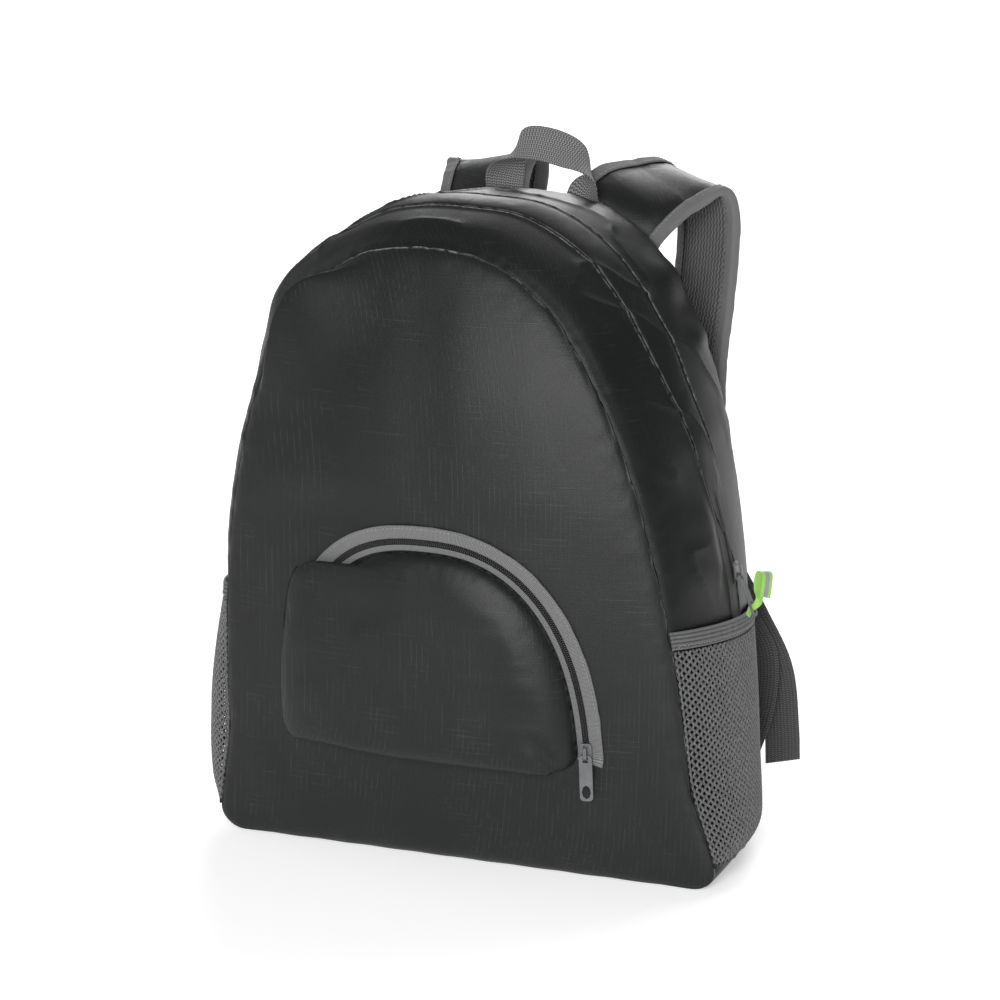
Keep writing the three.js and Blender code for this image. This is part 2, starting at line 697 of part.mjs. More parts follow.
// The ribbon threads the puller's ring, runs out beside it and folds back on itself.
function pullRibbon(tab) {
  const { reach } = ribbon;
  const through = vector(0, -1, 0);
  const outside = vector(0.75, -0.35, -0.55);
  const rows = [
    { x: 0.2, y: 0.2, z: -0.2, side: vector(0.3, -1, 0) },
    { x: -0.04, y: 0.03, z: -0.08, side: through },
    { x: -0.1, y: 0, z: 0.08, side: through },
    { x: -0.16, y: -0.12, z: 0.24, side: vector(0.4, -0.9, 0) },
    { x: -0.34, y: -0.44, z: 0.32, side: outside },
    { x: -0.44, y: -0.78, z: 0.44, side: outside },
    { x: -0.48, y: -0.96, z: 0.6, side: outside },
    { x: -0.42, y: -0.86, z: 0.76, side: outside },
    { x: -0.3, y: -0.5, z: 0.64, side: outside },
    { x: -0.16, y: -0.16, z: 0.48, side: outside },
  ];
  const stations = rows.map(({ x, y, z, side }) => ({
    place: vector(x * reach, ringMiddle + y * reach, z * reach),
    side,
  }));
  const width = (u) => lerp(ribbon.throat, ribbon.width, smoothstep(u, 0.2, 0.45));
  addMesh(
    "pull_ribbon",
    sweep(route(stations), (u) => flat(width(u), ribbon.wall)(), 22),
    colours.green,
    0.7,
    0,
    tab,
  );
}

const backSeamTop = gussetPoint(0.5, 1).z;

// The grab handle: both feet lie flat on the back panel and its crest turns edge up.
function grabHandle() {
  const clear = 3 * seamGap + handle.wall / 2;
  const rows = [
    { x: -0.5, up: -1, over: 0, side: vector(1, 0, 0) },
    { x: -0.5, up: 0, over: 0, side: vector(1, 0, 0) },
    { x: -0.47, up: 0.35, over: 0.17, side: vector(0.85, 0.4, 0.3) },
    { x: -0.26, up: 0.9, over: 0.83, side: vector(0.1, 0.7, 0.75) },
    { x: 0.06, up: 0.94, over: 1, side: vector(-0.1, 0.65, 0.75) },
    { x: 0.44, up: 0.72, over: 0.83, side: vector(-0.3, 0.7, 0.65) },
    { x: 0.6, up: 0.34, over: 0.33, side: vector(-0.5, 0.85, 0.1) },
    { x: 0.5, up: -0.1, over: 0, side: vector(-1, 0, 0) },
    { x: 0.5, up: -1, over: 0, side: vector(-1, 0, 0) },
  ];
  const stations = rows.map((row) => {
    const z = backSeamTop + (row.up < 0 ? row.up * handle.footDrop : row.up * handle.rise);
    return {
      place: vector(
        carryCentre + row.x * handle.footSpacing,
        backFace(z) + clear - row.over * handle.lean,
        z,
      ),
      side: row.side,
    };
  });
  addMesh("haul_handle", sweep(route(stations), flat(handle.web, handle.wall), 28), colours.webbing);
}

// Stations of a shoulder strap, in shares: out of its spread, back of the bend's stand-off, up of the
// bend's rise above the sewn end or, below it, of the drop to the lower end. Turn is in degrees.
const strapRows = {
  right: [
    { out: -0.148, back: 0, up: -0.07, turn: 0, tilt: -0.6 },
    { out: -0.037, back: 0.02, up: 0, turn: 0, tilt: -0.6 },
    { out: 0.111, back: 0.2, up: 0.45, turn: -6, tilt: -0.5 },
    { out: 0.315, back: 0.52, up: 0.72, turn: -16, tilt: -0.28 },
    { out: 0.593, back: 0.86, up: 0.8, turn: -28, tilt: -0.15 },
    { out: 0.704, back: 1, up: 0.1, turn: -36, tilt: 0 },
    { out: 0.685, back: 0.98, up: -0.31, turn: -38, tilt: 0 },
    { out: 0.611, back: 0.82, up: -0.54, turn: -32, tilt: 0 },
    { out: 0.741, back: 0.62, up: -0.77, turn: -20, tilt: 0 },
    { out: 1, back: 0.46, up: -1, turn: -10, tilt: 0 },
  ],
  left: [
    { out: -0.148, back: 0, up: -0.07, turn: 0, tilt: -0.5 },
    { out: -0.074, back: 0.02, up: 0, turn: 0, tilt: -0.5 },
    { out: -0.019, back: 0.2, up: 0.6, turn: 0, tilt: -0.38 },
    { out: 0.037, back: 0.5, up: 1, turn: 0, tilt: -0.28 },
    { out: 0.093, back: 0.8, up: 0.95, turn: -2, tilt: -0.2 },
    { out: 0.167, back: 0.97, up: 0.4, turn: -4, tilt: -0.1 },
    { out: 0.241, back: 1, up: -0.03, turn: -6, tilt: 0 },
    { out: 0.333, back: 0.96, up: -0.31, turn: -8, tilt: 0 },
    { out: 0.481, back: 0.82, up: -0.54, turn: -10, tilt: 0 },
    { out: 0.704, back: 0.62, up: -0.77, turn: -10, tilt: 0 },
    { out: 1, back: 0.46, up: -1, turn: -8, tilt: 0 },
  ],
};

function strapStations(hand, rows, seat) {
  const rootHeight = backSeamTop - strap.rootDrop;
  const drop = rootHeight - strap.endHeight;
  const layers = strap.bindingWall + (strap.face + strap.layerGap + strap.mesh) / 2 + seamGap;
  const rootY = backFace(rootHeight - strap.width / 4) + layers + seat;
  return rows.map((row) => {
    const turn = THREE.MathUtils.degToRad(row.turn);
    return {
      place: vector(
        carryCentre + hand * (strap.rootX + row.out * strap.spread),
        rootY + row.back * strap.archBack,
        rootHeight + (row.up < 0 ? row.up * drop : row.up * strap.archRise),
      ),
      side: vector(Math.cos(turn), hand * Math.sin(turn), hand * row.tilt),
    };
  });
}

const strapHalf = (u) => (strap.width / 2) * lerp(1, strap.endShare, smoothstep(u, 0.74, 1));

function shoulderStrap(name, hand, rows, seat) {
  const frame = route(strapStations(hand, rows, seat));
  const steps = 22;
  const total = strap.face + strap.layerGap + strap.mesh;
  // Each layer has a corner under the bindings' edges, so that it folds as they do.
  const layer = (low, high) => (u) => {
    const half = strapHalf(u);
    const covered = half + seamGap - strap.bindingWidth;
    const places = [-half, -covered, covered, half];
    return [...places.map((x) => [x, low]), ...places.reverse().map((x) => [x, high])];
  };
  // The face direction points to the concave side, where the mesh lies.
  addMesh(`${name}_face`, sweep(frame, layer(-total / 2, -total / 2 + strap.face), steps), colours.ripstop);
  addMesh(`${name}_mesh`, sweep(frame, layer(total / 2 - strap.mesh, total / 2), steps), colours.net);
  for (const [edge, way] of [
    ["left_binding", -1],
    ["right_binding", 1],
  ]) {
    const fold = (u) => {
      const rim = strapHalf(u) + seamGap;
      const inside = rim - strap.bindingWidth;
      const near = total / 2 + strap.layerGap;
      const far = near + strap.bindingWall;
      const section = [
        [inside, near],
        [rim, near],
        [rim, -near],
        [inside, -near],
        [inside, -far],
        [rim + strap.bindingWall, -far],
        [rim + strap.bindingWall, far],
        [inside, far],
      ];
      return section.map(([across, through]) => [way * across, through]);
    };
    addMesh(`${name}_${edge}`, sweep(frame, fold, steps), colours.greyTape);
  }
  ladderLock(name, hand, frame(1));
}

// The lock hangs under the strap's end; the webbing climbs in front of it, turns over its lower bar
// and hangs down behind as the tail.
function ladderLock(name, hand, end) {
  const down = vector().crossVectors(end.side, end.face).normalize();
  if (down.z > 0) down.negate();
  const across = end.side.clone();
  const back = vector().crossVectors(down, across).normalize();
  if (back.y < 0) back.negate();
  const top = end.centre.clone().addScaledVector(down, lock.loopReach);
  const at = (x, y, fall) =>
    top.clone().addScaledVector(across, x).addScaledVector(back, y).addScaledVector(down, fall);

  const plate = roundedRectangle(lock.width, -lock.height, 0, lock.corner);
  const slotHalf = lock.width / 2 - lock.sideBar;
  const slot = (high, low) => {
    const hole = new THREE.Path();
    hole.moveTo(-slotHalf, high);
    hole.lineTo(slotHalf, high);
    hole.lineTo(slotHalf, low);
    hole.lineTo(-slotHalf, low);
    return hole;
  };
  const loopLow = -lock.topBar - lock.loopSlot;
  const webHigh = loopLow - lock.midBar;
  const webLow = webHigh - lock.webSlot;
  plate.holes.push(slot(-lock.topBar, loopLow), slot(webHigh, webLow));
  const flatBar = { depth: lock.wall, bevelEnabled: false, curveSegments: 3 };
  const frameGeometry = new THREE.ExtrudeGeometry(plate, flatBar);
  frameGeometry.translate(0, 0, -lock.wall / 2);
  const up = down.clone().negate();
  const normal = vector().crossVectors(across, up);
  const placed = new THREE.Group();
  placed.quaternion.setFromRotationMatrix(new THREE.Matrix4().makeBasis(across, up, normal));
  placed.position.copy(top);
  addMesh(`${name}_lock`, frameGeometry, colours.lockPlastic, 0.5, 0, placed);
  bag.add(placed);

  // The loop of webbing that carries the lock by its top bar.
  const off = lock.wall / 2 + web.clearance + web.wall / 2;
  const under = lock.topBar + web.clearance + web.wall / 2;
  const turn = (low, steps = 4) =>
    Array.from({ length: steps + 1 }, (_, i) => {
      const angle = Math.PI * (i / steps);
      return at(0, -off * Math.cos(angle), low + web.turn * Math.sin(angle));
    });
  const loopEnd = seamGap - lock.loopReach;
  const loopPlaces = [
    at(0, -off, loopEnd),
    at(0, -off, 0),
    ...turn(under),
    at(0, off, 0),
    at(0, off, loopEnd),
  ];
  const stations = (places) => places.map((place) => ({ place, side: across }));
  const loop = sweep(route(stations(loopPlaces)), flat(web.loopWidth, web.wall), 24);
  addMesh(`${name}_lock_loop`, loop, colours.webbing);

  // The adjusting webbing: from the base corner up to the lock, over its bar and down to the tail's end.
  const over = -webLow - web.clearance - web.wall / 2;
  const bar = Array.from({ length: 5 }, (_, i) => {
    const angle = Math.PI * (i / 4);
    return at(0, -off * Math.cos(angle), over - web.turn * Math.sin(angle));
  });
  const foot = at(0, 0, lock.height + web.lead);
  const anchorY = backFace(0) + body.backPuff * web.anchorPuff + seamGap + web.wall / 2;
  const anchor = vector(hand * web.anchorX, anchorY, web.anchorHeight);
  const fall = foot.z - anchor.z;
  const bow = (share, out, behind) =>
    vector(
      lerp(anchor.x, foot.x, share) + hand * out * web.bow,
      lerp(anchor.y, foot.y, share) + behind * web.bowBack,
      anchor.z + share * fall,
    );
  const tail = (share, out, behind) =>
    vector(
      foot.x + hand * out * web.tailSpread,
      foot.y + behind * web.tailBack,
      lerp(foot.z, web.tailEnd, share),
    );
  const rows = [
    { place: anchor, side: vector(1, 0, 0) },
    { place: bow(0.16, 0.55, 0.27), side: vector(1, 0, 0) },
    { place: bow(0.4, 1, 0.91), side: vector(1, -0.1 * hand, 0.1 * hand) },
    { place: bow(0.62, 1, 1), side: vector(1, -0.1 * hand, 0.3 * hand) },
    { place: bow(0.8, 0.42, 0.45), side: vector(1, -0.1 * hand, 0.3 * hand) },
    { place: at(0, -off, lock.height * 1.1), side: across },
    { place: at(0, -off, lock.height), side: across },
    { place: at(0, -off, lerp(over, lock.height, 0.4)), side: across },
    ...bar.map((place) => ({ place, side: across })),
    { place: at(0, off, lerp(over, lock.height, 0.4)), side: across },
    { place: at(0, off, lock.height), side: across },
    { place: tail(0.22, 0.42, 0.5), side: vector(1, 0, 0.3 * hand) },
    { place: tail(0.5, 0.84, 0.94), side: vector(1, 0, 0.25 * hand) },
    { place: tail(0.8, 0.97, 1), side: vector(1, 0, 0.2 * hand) },
    { place: tail(1, 1, 1), side: vector(1, 0, 0.25 * hand) },
  ];
  addMesh(`${name}_webbing`, sweep(route(rows), flat(web.width, web.wall), 46), colours.webbing);
}

frontPanel();
gusset();
backPanel();
netPocket("right_net", (t) => t, sideNet.right);
netPocket("left_net", (t) => 1 - t, sideNet.left);
pocketFace();
pocketZipper();
pocketSlider();
mainSlider();
grabHandle();
shoulderStrap("right_strap", 1, strapRows.right, strap.rightSeat);
shoulderStrap("left_strap", -1, strapRows.left, strap.leftSeat);

export default bag;
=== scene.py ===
# The packable backpack, dressed for a studio picture of its front and right side.
# Shapes are worked out in millimetres, as the part's own sizes are, and become metres where a mesh is made.
import math

import bmesh
import bpy
import numpy as np
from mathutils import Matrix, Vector


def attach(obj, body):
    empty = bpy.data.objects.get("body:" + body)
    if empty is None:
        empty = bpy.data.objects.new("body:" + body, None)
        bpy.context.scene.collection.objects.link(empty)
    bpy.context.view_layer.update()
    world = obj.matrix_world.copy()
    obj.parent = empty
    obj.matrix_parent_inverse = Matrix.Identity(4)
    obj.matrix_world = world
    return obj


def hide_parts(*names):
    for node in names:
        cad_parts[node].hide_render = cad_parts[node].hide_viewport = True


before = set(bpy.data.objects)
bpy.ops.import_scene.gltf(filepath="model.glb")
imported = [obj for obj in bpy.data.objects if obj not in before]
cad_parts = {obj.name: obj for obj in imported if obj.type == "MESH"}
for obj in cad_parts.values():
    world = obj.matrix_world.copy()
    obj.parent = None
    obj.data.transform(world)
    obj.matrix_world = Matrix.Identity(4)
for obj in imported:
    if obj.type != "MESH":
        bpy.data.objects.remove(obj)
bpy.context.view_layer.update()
mm = 0.001


# Hermite ease from 0 at a to 1 at b: t*t*(3 - 2t).
def smooth(x, a, b):
    t = np.clip((np.asarray(x, float) - a) / (b - a), 0, 1)
    return t * t * (3 - 2 * t)


def lerp(a, b, t):
    return a + (b - a) * t


def unit(v):
    return v / np.maximum(np.linalg.norm(v, axis=-1, keepdims=True), 1e-12)


# Value noise from -1 to 1: a seeded table of random heights, eased between whole numbers.
def noise(x, y, seed):
    x, y = np.broadcast_arrays(np.asarray(x, float), np.asarray(y, float))
    heights = np.random.default_rng(seed).uniform(-1, 1, (96, 96))
    i, j = np.floor(x).astype(int), np.floor(y).astype(int)
    fx, fy = x - i, y - j
    fx, fy = fx * fx * fx * (fx * (6 * fx - 15) + 10), fy * fy * fy * (fy * (6 * fy - 15) + 10)
    i, j, nextI, nextJ = i % 96, j % 96, (i + 1) % 96, (j + 1) % 96
    low = lerp(heights[i, j], heights[nextI, j], fx)
    high = lerp(heights[i, nextJ], heights[nextI, nextJ], fx)
    return lerp(low, high, fy)


# Creases: 1 on the lines where warped noise crosses zero, falling off on both sides of them.
def crease(x, y, seed, sharpness=3.0):
    warp = 0.35 * noise(x * 1.7 + 5, y * 1.7, seed + 1)
    return np.exp(-sharpness * np.abs(noise(x + warp, y - warp, seed)))


# A socket of a shader tree that takes part in arithmetic.
class Value:
    def __init__(self, tree, socket):
        self.tree = tree
        self.socket = socket

    def maths(self, operation, *others):
        return self.tree.node("ShaderNodeMath", {"operation": operation}, [self, *others])

    def __add__(self, other):
        return self.maths("ADD", other)

    def __sub__(self, other):
        return self.maths("SUBTRACT", other)

    def __mul__(self, other):
        return self.maths("MULTIPLY", other)

    def __truediv__(self, other):
        return self.maths("DIVIDE", other)

    def __radd__(self, other):
        return self.maths("ADD", other)

    def __rmul__(self, other):
        return self.maths("MULTIPLY", other)

    def __rsub__(self, other):
        return self.tree.node("ShaderNodeMath", {"operation": "SUBTRACT"}, [other, self])

    def sine(self):
        return self.maths("SINE")

    def size(self):
        return self.maths("ABSOLUTE")

    # Rises from 0 to 1 as this goes from low to high.
    def between(self, low, high):
        inputs = {"Value": self, "From Min": low, "From Max": high}
        return self.tree.node("ShaderNodeMapRange", {"interpolation_type": "SMOOTHSTEP"}, inputs)


# A material and its tree. node() makes any node from its type, its settings and its inputs.
class Look:
    def __init__(self, name, **shader):
        self.material = bpy.data.materials.new(name)
        self.material.use_nodes = True
        self.nodes = self.material.node_tree.nodes
        self.links = self.material.node_tree.links
        self.shader = self.nodes["Principled BSDF"]
        for socket, value in shader.items():
            self.shader.inputs[socket.replace("_", " ")].default_value = value

    def put(self, value, socket):
        if isinstance(value, Value):
            self.links.new(value.socket, socket)
        else:
            socket.default_value = value

    def node(self, kind, settings=None, inputs=None, output=0):
        made = self.nodes.new(kind)
        for key, value in (settings or {}).items():
            setattr(made, key, value)
        pairs = inputs.items() if isinstance(inputs, dict) else enumerate(inputs or [])
        for key, value in pairs:
            self.put(value, made.inputs[key])
        return Value(self, made.outputs[output])

    # The place on the piece, in metres, as three values.
    def place(self):
        found = self.node("ShaderNodeTexCoord", output="Object")
        return self.split(found)

    def split(self, vector):
        apart = self.nodes.new("ShaderNodeSeparateXYZ")
        self.links.new(vector.socket, apart.inputs[0])
        return [Value(self, out) for out in apart.outputs]

    def join(self, x, y, z):
        return self.node("ShaderNodeCombineXYZ", None, [x, y, z])

    # The piece's own cloth coordinates, in millimetres: across it, along it, and which face.
    def cloth(self):
        found = self.node("ShaderNodeAttribute", {"attribute_name": "cloth"}, output="Vector")
        return self.split(found)

    def tag(self, name):
        return self.node("ShaderNodeAttribute", {"attribute_name": name}, output="Fac")

    def noise(self, vector, scale, detail=2.0, roughness=0.5):
        inputs = {"Vector": vector, "Scale": scale, "Detail": detail, "Roughness": roughness}
        return self.node("ShaderNodeTexNoise", None, inputs)

    def mix(self, share, a, b):
        settings = {"data_type": "RGBA"}
        made = self.nodes.new("ShaderNodeMix")
        made.data_type = settings["data_type"]
        self.put(share, made.inputs["Factor"])
        colours = [s for s in made.inputs if s.type == "RGBA"]
        for colour, socket in zip((a, b), colours):
            self.put(colour if isinstance(colour, Value) else (*colour, 1), socket)
        return Value(self, next(s for s in made.outputs if s.type == "RGBA"))

    def colour(self, value):
        self.put(value, self.shader.inputs["Base Color"])

    def rough(self, value):
        self.put(value, self.shader.inputs["Roughness"])

    # Heights are in metres, as the pieces are.
    def bump(self, height, strength=1.0):
        inputs = {"Height": height, "Distance": 1.0, "Strength": strength}
        self.put(self.node("ShaderNodeBump", None, inputs), self.shader.inputs["Normal"])


# Thin nylon: a fine plain weave with a grid of thicker threads that shows here and there, slubs running
# both ways, soft shade patches and a painted highlight along folded edges. Upright threads are counted on x + y, level
# ones on z.
def nylonLook(name, tone=1.0, slubs=1.0, shine=0.25):
    grid, weavePitch = 0.0037, 0.00042
    look = Look(name, Roughness=0.42, Specular_IOR_Level=shine)
    x, y, z = look.place()
    place = look.join(x, y, z)
    across = x + y
    upright = look.noise(look.join(x, y, z * 0.035), 1150.0, 2.0)
    level = look.noise(look.join(x * 0.035, y * 0.035, z), 1150.0, 2.0)
    patches = look.noise(place, 14.0, 3.0)
    fade = look.noise(place, 31.0, 2.0)
    uprights = (across * (2 * math.pi / grid)).sine().between(0.72, 1.0) * look.noise(look.join(x, y, z * 0.12), 420.0).between(0.42, 0.62)
    levels = (z * (2 * math.pi / grid)).sine().between(0.72, 1.0) * look.noise(look.join(x * 0.12, y * 0.12, z), 420.0).between(0.46, 0.66)
    rip = (uprights * patches.between(0.4, 0.6) + levels * fade.between(0.5, 0.64)) * slubs
    streaks = (upright.between(0.6, 0.78) + level.between(0.64, 0.8) * 0.6) * fade.between(0.42, 0.66) * slubs
    dark, pale = (0.006, 0.007, 0.0064), (0.011, 0.0125, 0.0116)
    shade = look.mix(patches, tuple(tone * c for c in dark), tuple(tone * c for c in pale))
    lit = look.mix(streaks * 0.16 + rip * 0.2, shade, (0.06, 0.066, 0.063))
    # Painted highlight: the cloth turns pale grey within a millimetre of its folded edges. It is broken up by noise and
    # scaled by each piece's highlight mark.
    highlightBreakup = look.noise(place, 260.0, 3.0).between(0.35, 0.62)
    paintedHighlight = (1.0 - look.tag("edge").between(0.0, 1.0)) * highlightBreakup * look.tag("paintedHighlight")
    look.colour(look.mix(paintedHighlight, lit, (0.2, 0.205, 0.195)))
    turns = 2 * math.pi / weavePitch
    weave = (across * turns).sine() * (z * turns).sine()
    look.rough(0.38 + patches * 0.1 + weave * 0.02)
    soft = look.noise(place, 95.0, 3.0)
    look.bump(weave * 0.000012 + (upright + level) * (0.00006 * slubs) + soft * 0.0001 + rip * 0.00004)
    return look.material


# Narrow woven tape: cross ribs along it, with a slub in the yarn.
def tapeLook(name, dark, light, pitch=0.9, columns=0.0, rough=0.72, depth=0.00008):
    look = Look(name, Roughness=rough, Specular_IOR_Level=0.3, Sheen_Weight=0.15)
    across, along, _ = look.cloth()
    grain = look.noise(look.join(across * 0.9, along * 0.9, 0.0), 1.0, 3.0)
    ribs = (along * (2 * math.pi / pitch)).sine()
    if columns:
        ribs = ribs * (across * (2 * math.pi / columns)).sine()
    share = (ribs * 0.5 + 0.5) * 0.75 + grain * 0.25
    look.colour(look.mix(share.between(0.1, 0.85), dark, light))
    look.rough(rough + grain * 0.12)
    look.bump(ribs * depth + grain * 0.00006)
    return look.material


# Elastic: four covered rubbers side by side, with fine cross ribs over them.
def elasticLook(name):
    look = Look(name, Roughness=0.72, Specular_IOR_Level=0.3, Sheen_Weight=0.15)
    across, along, _ = look.cloth()
    rubbers = (across * (2 * math.pi / 2.67)).sine()
    ribs = (along * (2 * math.pi / 0.8)).sine()
    grain = look.noise(look.join(across * 0.9, along * 0.9, 0.0), 1.0, 3.0)
    # Painted shade: the grooves between the rubbers are coloured darker than the rubbers' crowns.
    share = rubbers.between(-1.0, -0.1) * 0.7 + ribs * 0.1 + grain * 0.25
    look.colour(look.mix(share, (0.022, 0.022, 0.0225), (0.12, 0.12, 0.122)))
    look.rough(0.7 + grain * 0.12)
    look.bump(rubbers * 0.00025 + ribs * 0.00006 + grain * 0.00006)
    return look.material


# Load webbing: rows of raised cross bars, broken into columns of yarn.
def webbingLook(name, dark, light, bar=1.75, column=1.5):
    look = Look(name, Roughness=0.66, Specular_IOR_Level=0.35, Sheen_Weight=0.1)
    across, along, _ = look.cloth()
    shift = (across * (math.pi / column)).sine() * 0.35
    bars = ((along + shift) * (2 * math.pi / bar)).sine()
    columns = (across * (2 * math.pi / column)).sine()
    grain = look.noise(look.join(across, along, 0.0), 1.3, 3.0)
    height = bars * 0.62 + columns * 0.38
    look.colour(look.mix(height.between(-0.55, 0.75) * 0.85 + grain * 0.15, dark, light))
    look.rough(0.6 + grain * 0.15)
    look.bump(height * 0.00018 + grain * 0.00005)
    return look.material


# Spacer net inside a strap: wavy columns of yarn with a row of small holes between them.
def spacerLook(name):
    look = Look(name, Roughness=0.8, Specular_IOR_Level=0.2, Sheen_Weight=0.1)
    across, along, _ = look.cloth()
    wave = (along * (2 * math.pi / 4.6)).sine()
    columns = ((across + wave * 0.6) * (2 * math.pi / 3.6)).sine()
    yarn = (along * (2 * math.pi / 1.15)).sine()
    grain = look.noise(look.join(across, along, 0.0), 1.6, 3.0)
    height = columns + yarn * 0.3
    share = height.between(-0.75, 0.6) * 0.8 + grain * 0.2
    look.colour(look.mix(share, (0.012, 0.012, 0.012), (0.15, 0.15, 0.152)))
    look.rough(0.7 + grain * 0.2)
    look.bump(height * 0.0006 + grain * 0.00012)
    return look.material


# Twisted yarn of the side nets.
def yarnLook(name):
    look = Look(name, Roughness=0.7, Specular_IOR_Level=0.3, Sheen_Weight=0.25)
    x, y, z = look.place()
    grain = look.noise(look.join(x, y, z), 900.0, 2.0)
    twist = ((x + y + z * 1.6) * 5200.0).sine()
    look.colour(look.mix(twist * 0.3 + grain.between(0.3, 0.7) * 0.7, (0.035, 0.035, 0.0355), (0.2, 0.2, 0.202)))
    look.rough(0.6 + grain * 0.2)
    look.bump(twist * 0.00007 + grain * 0.00008)
    return look.material


# Lacquered cast metal with fine pits and rubbed highlights.
def lacquerLook(name):
    look = Look(name, Metallic=0.55, Roughness=0.4, Coat_Weight=0.15, Coat_Roughness=0.3)
    x, y, z = look.place()
    pits = look.noise(look.join(x, y, z), 700.0, 3.0)
    cloud = look.noise(look.join(x, y, z), 120.0, 2.0)
    look.colour(look.mix(cloud, (0.085, 0.087, 0.092), (0.16, 0.162, 0.168)))
    look.rough(0.34 + pits * 0.16)
    look.bump(pits * 0.00003)
    return look.material


# Moulded plastic with a spark-eroded grain.
def plasticLook(name, colour, rough=0.45, grainSize=1400.0):
    look = Look(name, Roughness=rough, Specular_IOR_Level=0.45)
    x, y, z = look.place()
    grain = look.noise(look.join(x, y, z), grainSize, 2.0)
    cloud = look.noise(look.join(x, y, z), 60.0, 2.0)
    look.colour(look.mix(cloud, colour, tuple(1.5 * c for c in colour)))
    look.rough(rough - 0.05 + grain * 0.1)
    look.bump(grain * 0.00002)
    return look.material


# Green pull ribbon: fine ribs, with a grey stripe woven into its inner face.
def ribbonLook(name):
    look = Look(name, Roughness=0.55, Specular_IOR_Level=0.35, Sheen_Weight=0.2)
    across, along, side = look.cloth()
    ribs = (along * (2 * math.pi / 0.7)).sine()
    grain = look.noise(look.join(across, along, 0.0), 1.5, 2.0)
    green = look.mix(ribs * 0.3 + 0.35 + grain * 0.3, (0.18, 0.38, 0.06), (0.36, 0.62, 0.14))
    stripe = (1.0 - (across.size()).between(1.5, 1.9)) * side.between(0.4, 0.6)
    look.colour(look.mix(stripe, green, (0.24, 0.25, 0.24)))
    look.rough(0.5 + grain * 0.1)
    look.bump(ribs * 0.00005)
    return look.material


nylon = nylonLook("nylon")
sideNylon = nylonLook("side_nylon", 0.82, 0.7, 0.21)
pocketNylon = nylonLook("pocket_nylon", 1.04)
strapNylon = nylonLook("strap_nylon", 0.85, 1.3)
greyTape = tapeLook("grey_tape", (0.075, 0.075, 0.076), (0.17, 0.17, 0.172), 0.8)
elasticTape = elasticLook("elastic")
bindingTape = tapeLook("binding_tape", (0.06, 0.06, 0.061), (0.165, 0.165, 0.168), 1.0, 1.6)
darkTape = tapeLook("dark_tape", (0.012, 0.012, 0.012), (0.03, 0.03, 0.03), 0.8)
handleWeb = webbingLook("handle_web", (0.035, 0.035, 0.036), (0.27, 0.27, 0.272))
loadWeb = webbingLook("load_web", (0.02, 0.02, 0.021), (0.08, 0.08, 0.082), 1.5, 2.4)
spacer = spacerLook("spacer_net")
yarn = yarnLook("net_yarn")
coilNylon = plasticLook("coil_nylon", (0.008, 0.008, 0.008), 0.35)
lacquer = lacquerLook("lacquer")
mould = plasticLook("lock_plastic", (0.012, 0.012, 0.0125))
ribbonGreen = ribbonLook("ribbon_green")
thread = plasticLook("thread", (0.2, 0.2, 0.202), 0.7, 500.0)
darkThread = plasticLook("dark_thread", (0.05, 0.052, 0.051), 0.7, 500.0)
print("looks made")


# Welds a mesh's doubled points, drops its empty faces and turns a closed mesh to face outwards.
def finishMesh(mesh, weld):
    shape = bmesh.new()
    shape.from_mesh(mesh)
    if weld:
        bmesh.ops.remove_doubles(shape, verts=shape.verts, dist=2e-6)
        bmesh.ops.dissolve_degenerate(shape, edges=shape.edges, dist=1e-7)
        if shape.calc_volume(signed=True) < 0:
            bmesh.ops.reverse_faces(shape, faces=shape.faces)
    shape.to_mesh(mesh)
    shape.free()
    mesh.polygons.foreach_set("use_smooth", np.ones(len(mesh.polygons), bool))
    mesh.update()


# One piece of the bag. Points are in millimetres; marks are values held by each point.
def addPiece(name, points, faces, look, stands=(), body="bag", marks=None, weld=True):
    mesh = bpy.data.meshes.new(name)
    mesh.from_pydata((points.reshape(-1, 3) * mm).tolist(), [], faces)
    for key, values in (marks or {}).items():
        kind = "FLOAT_VECTOR" if values.shape[-1:] == (3,) and values.ndim > 1 and key == "cloth" else "FLOAT"
        field = "vector" if kind == "FLOAT_VECTOR" else "value"
        mesh.attributes.new(key, kind, "POINT").data.foreach_set(field, values.astype(np.float32).ravel())
    finishMesh(mesh, weld)
    mesh.materials.append(look)
    piece = bpy.data.objects.new(name, mesh)
    bpy.context.scene.collection.objects.link(piece)
    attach(piece, body)
    if stands:
        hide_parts(*stands)
    return piece


# Quads of a grid of points, rows by columns, as indices from a first one.
def gridQuads(rows, columns, first=0):
    index = first + np.arange(rows * columns).reshape(rows, columns)
    return np.stack([index[:-1, :-1], index[:-1, 1:], index[1:, 1:], index[1:, :-1]], -1).reshape(-1, 4)


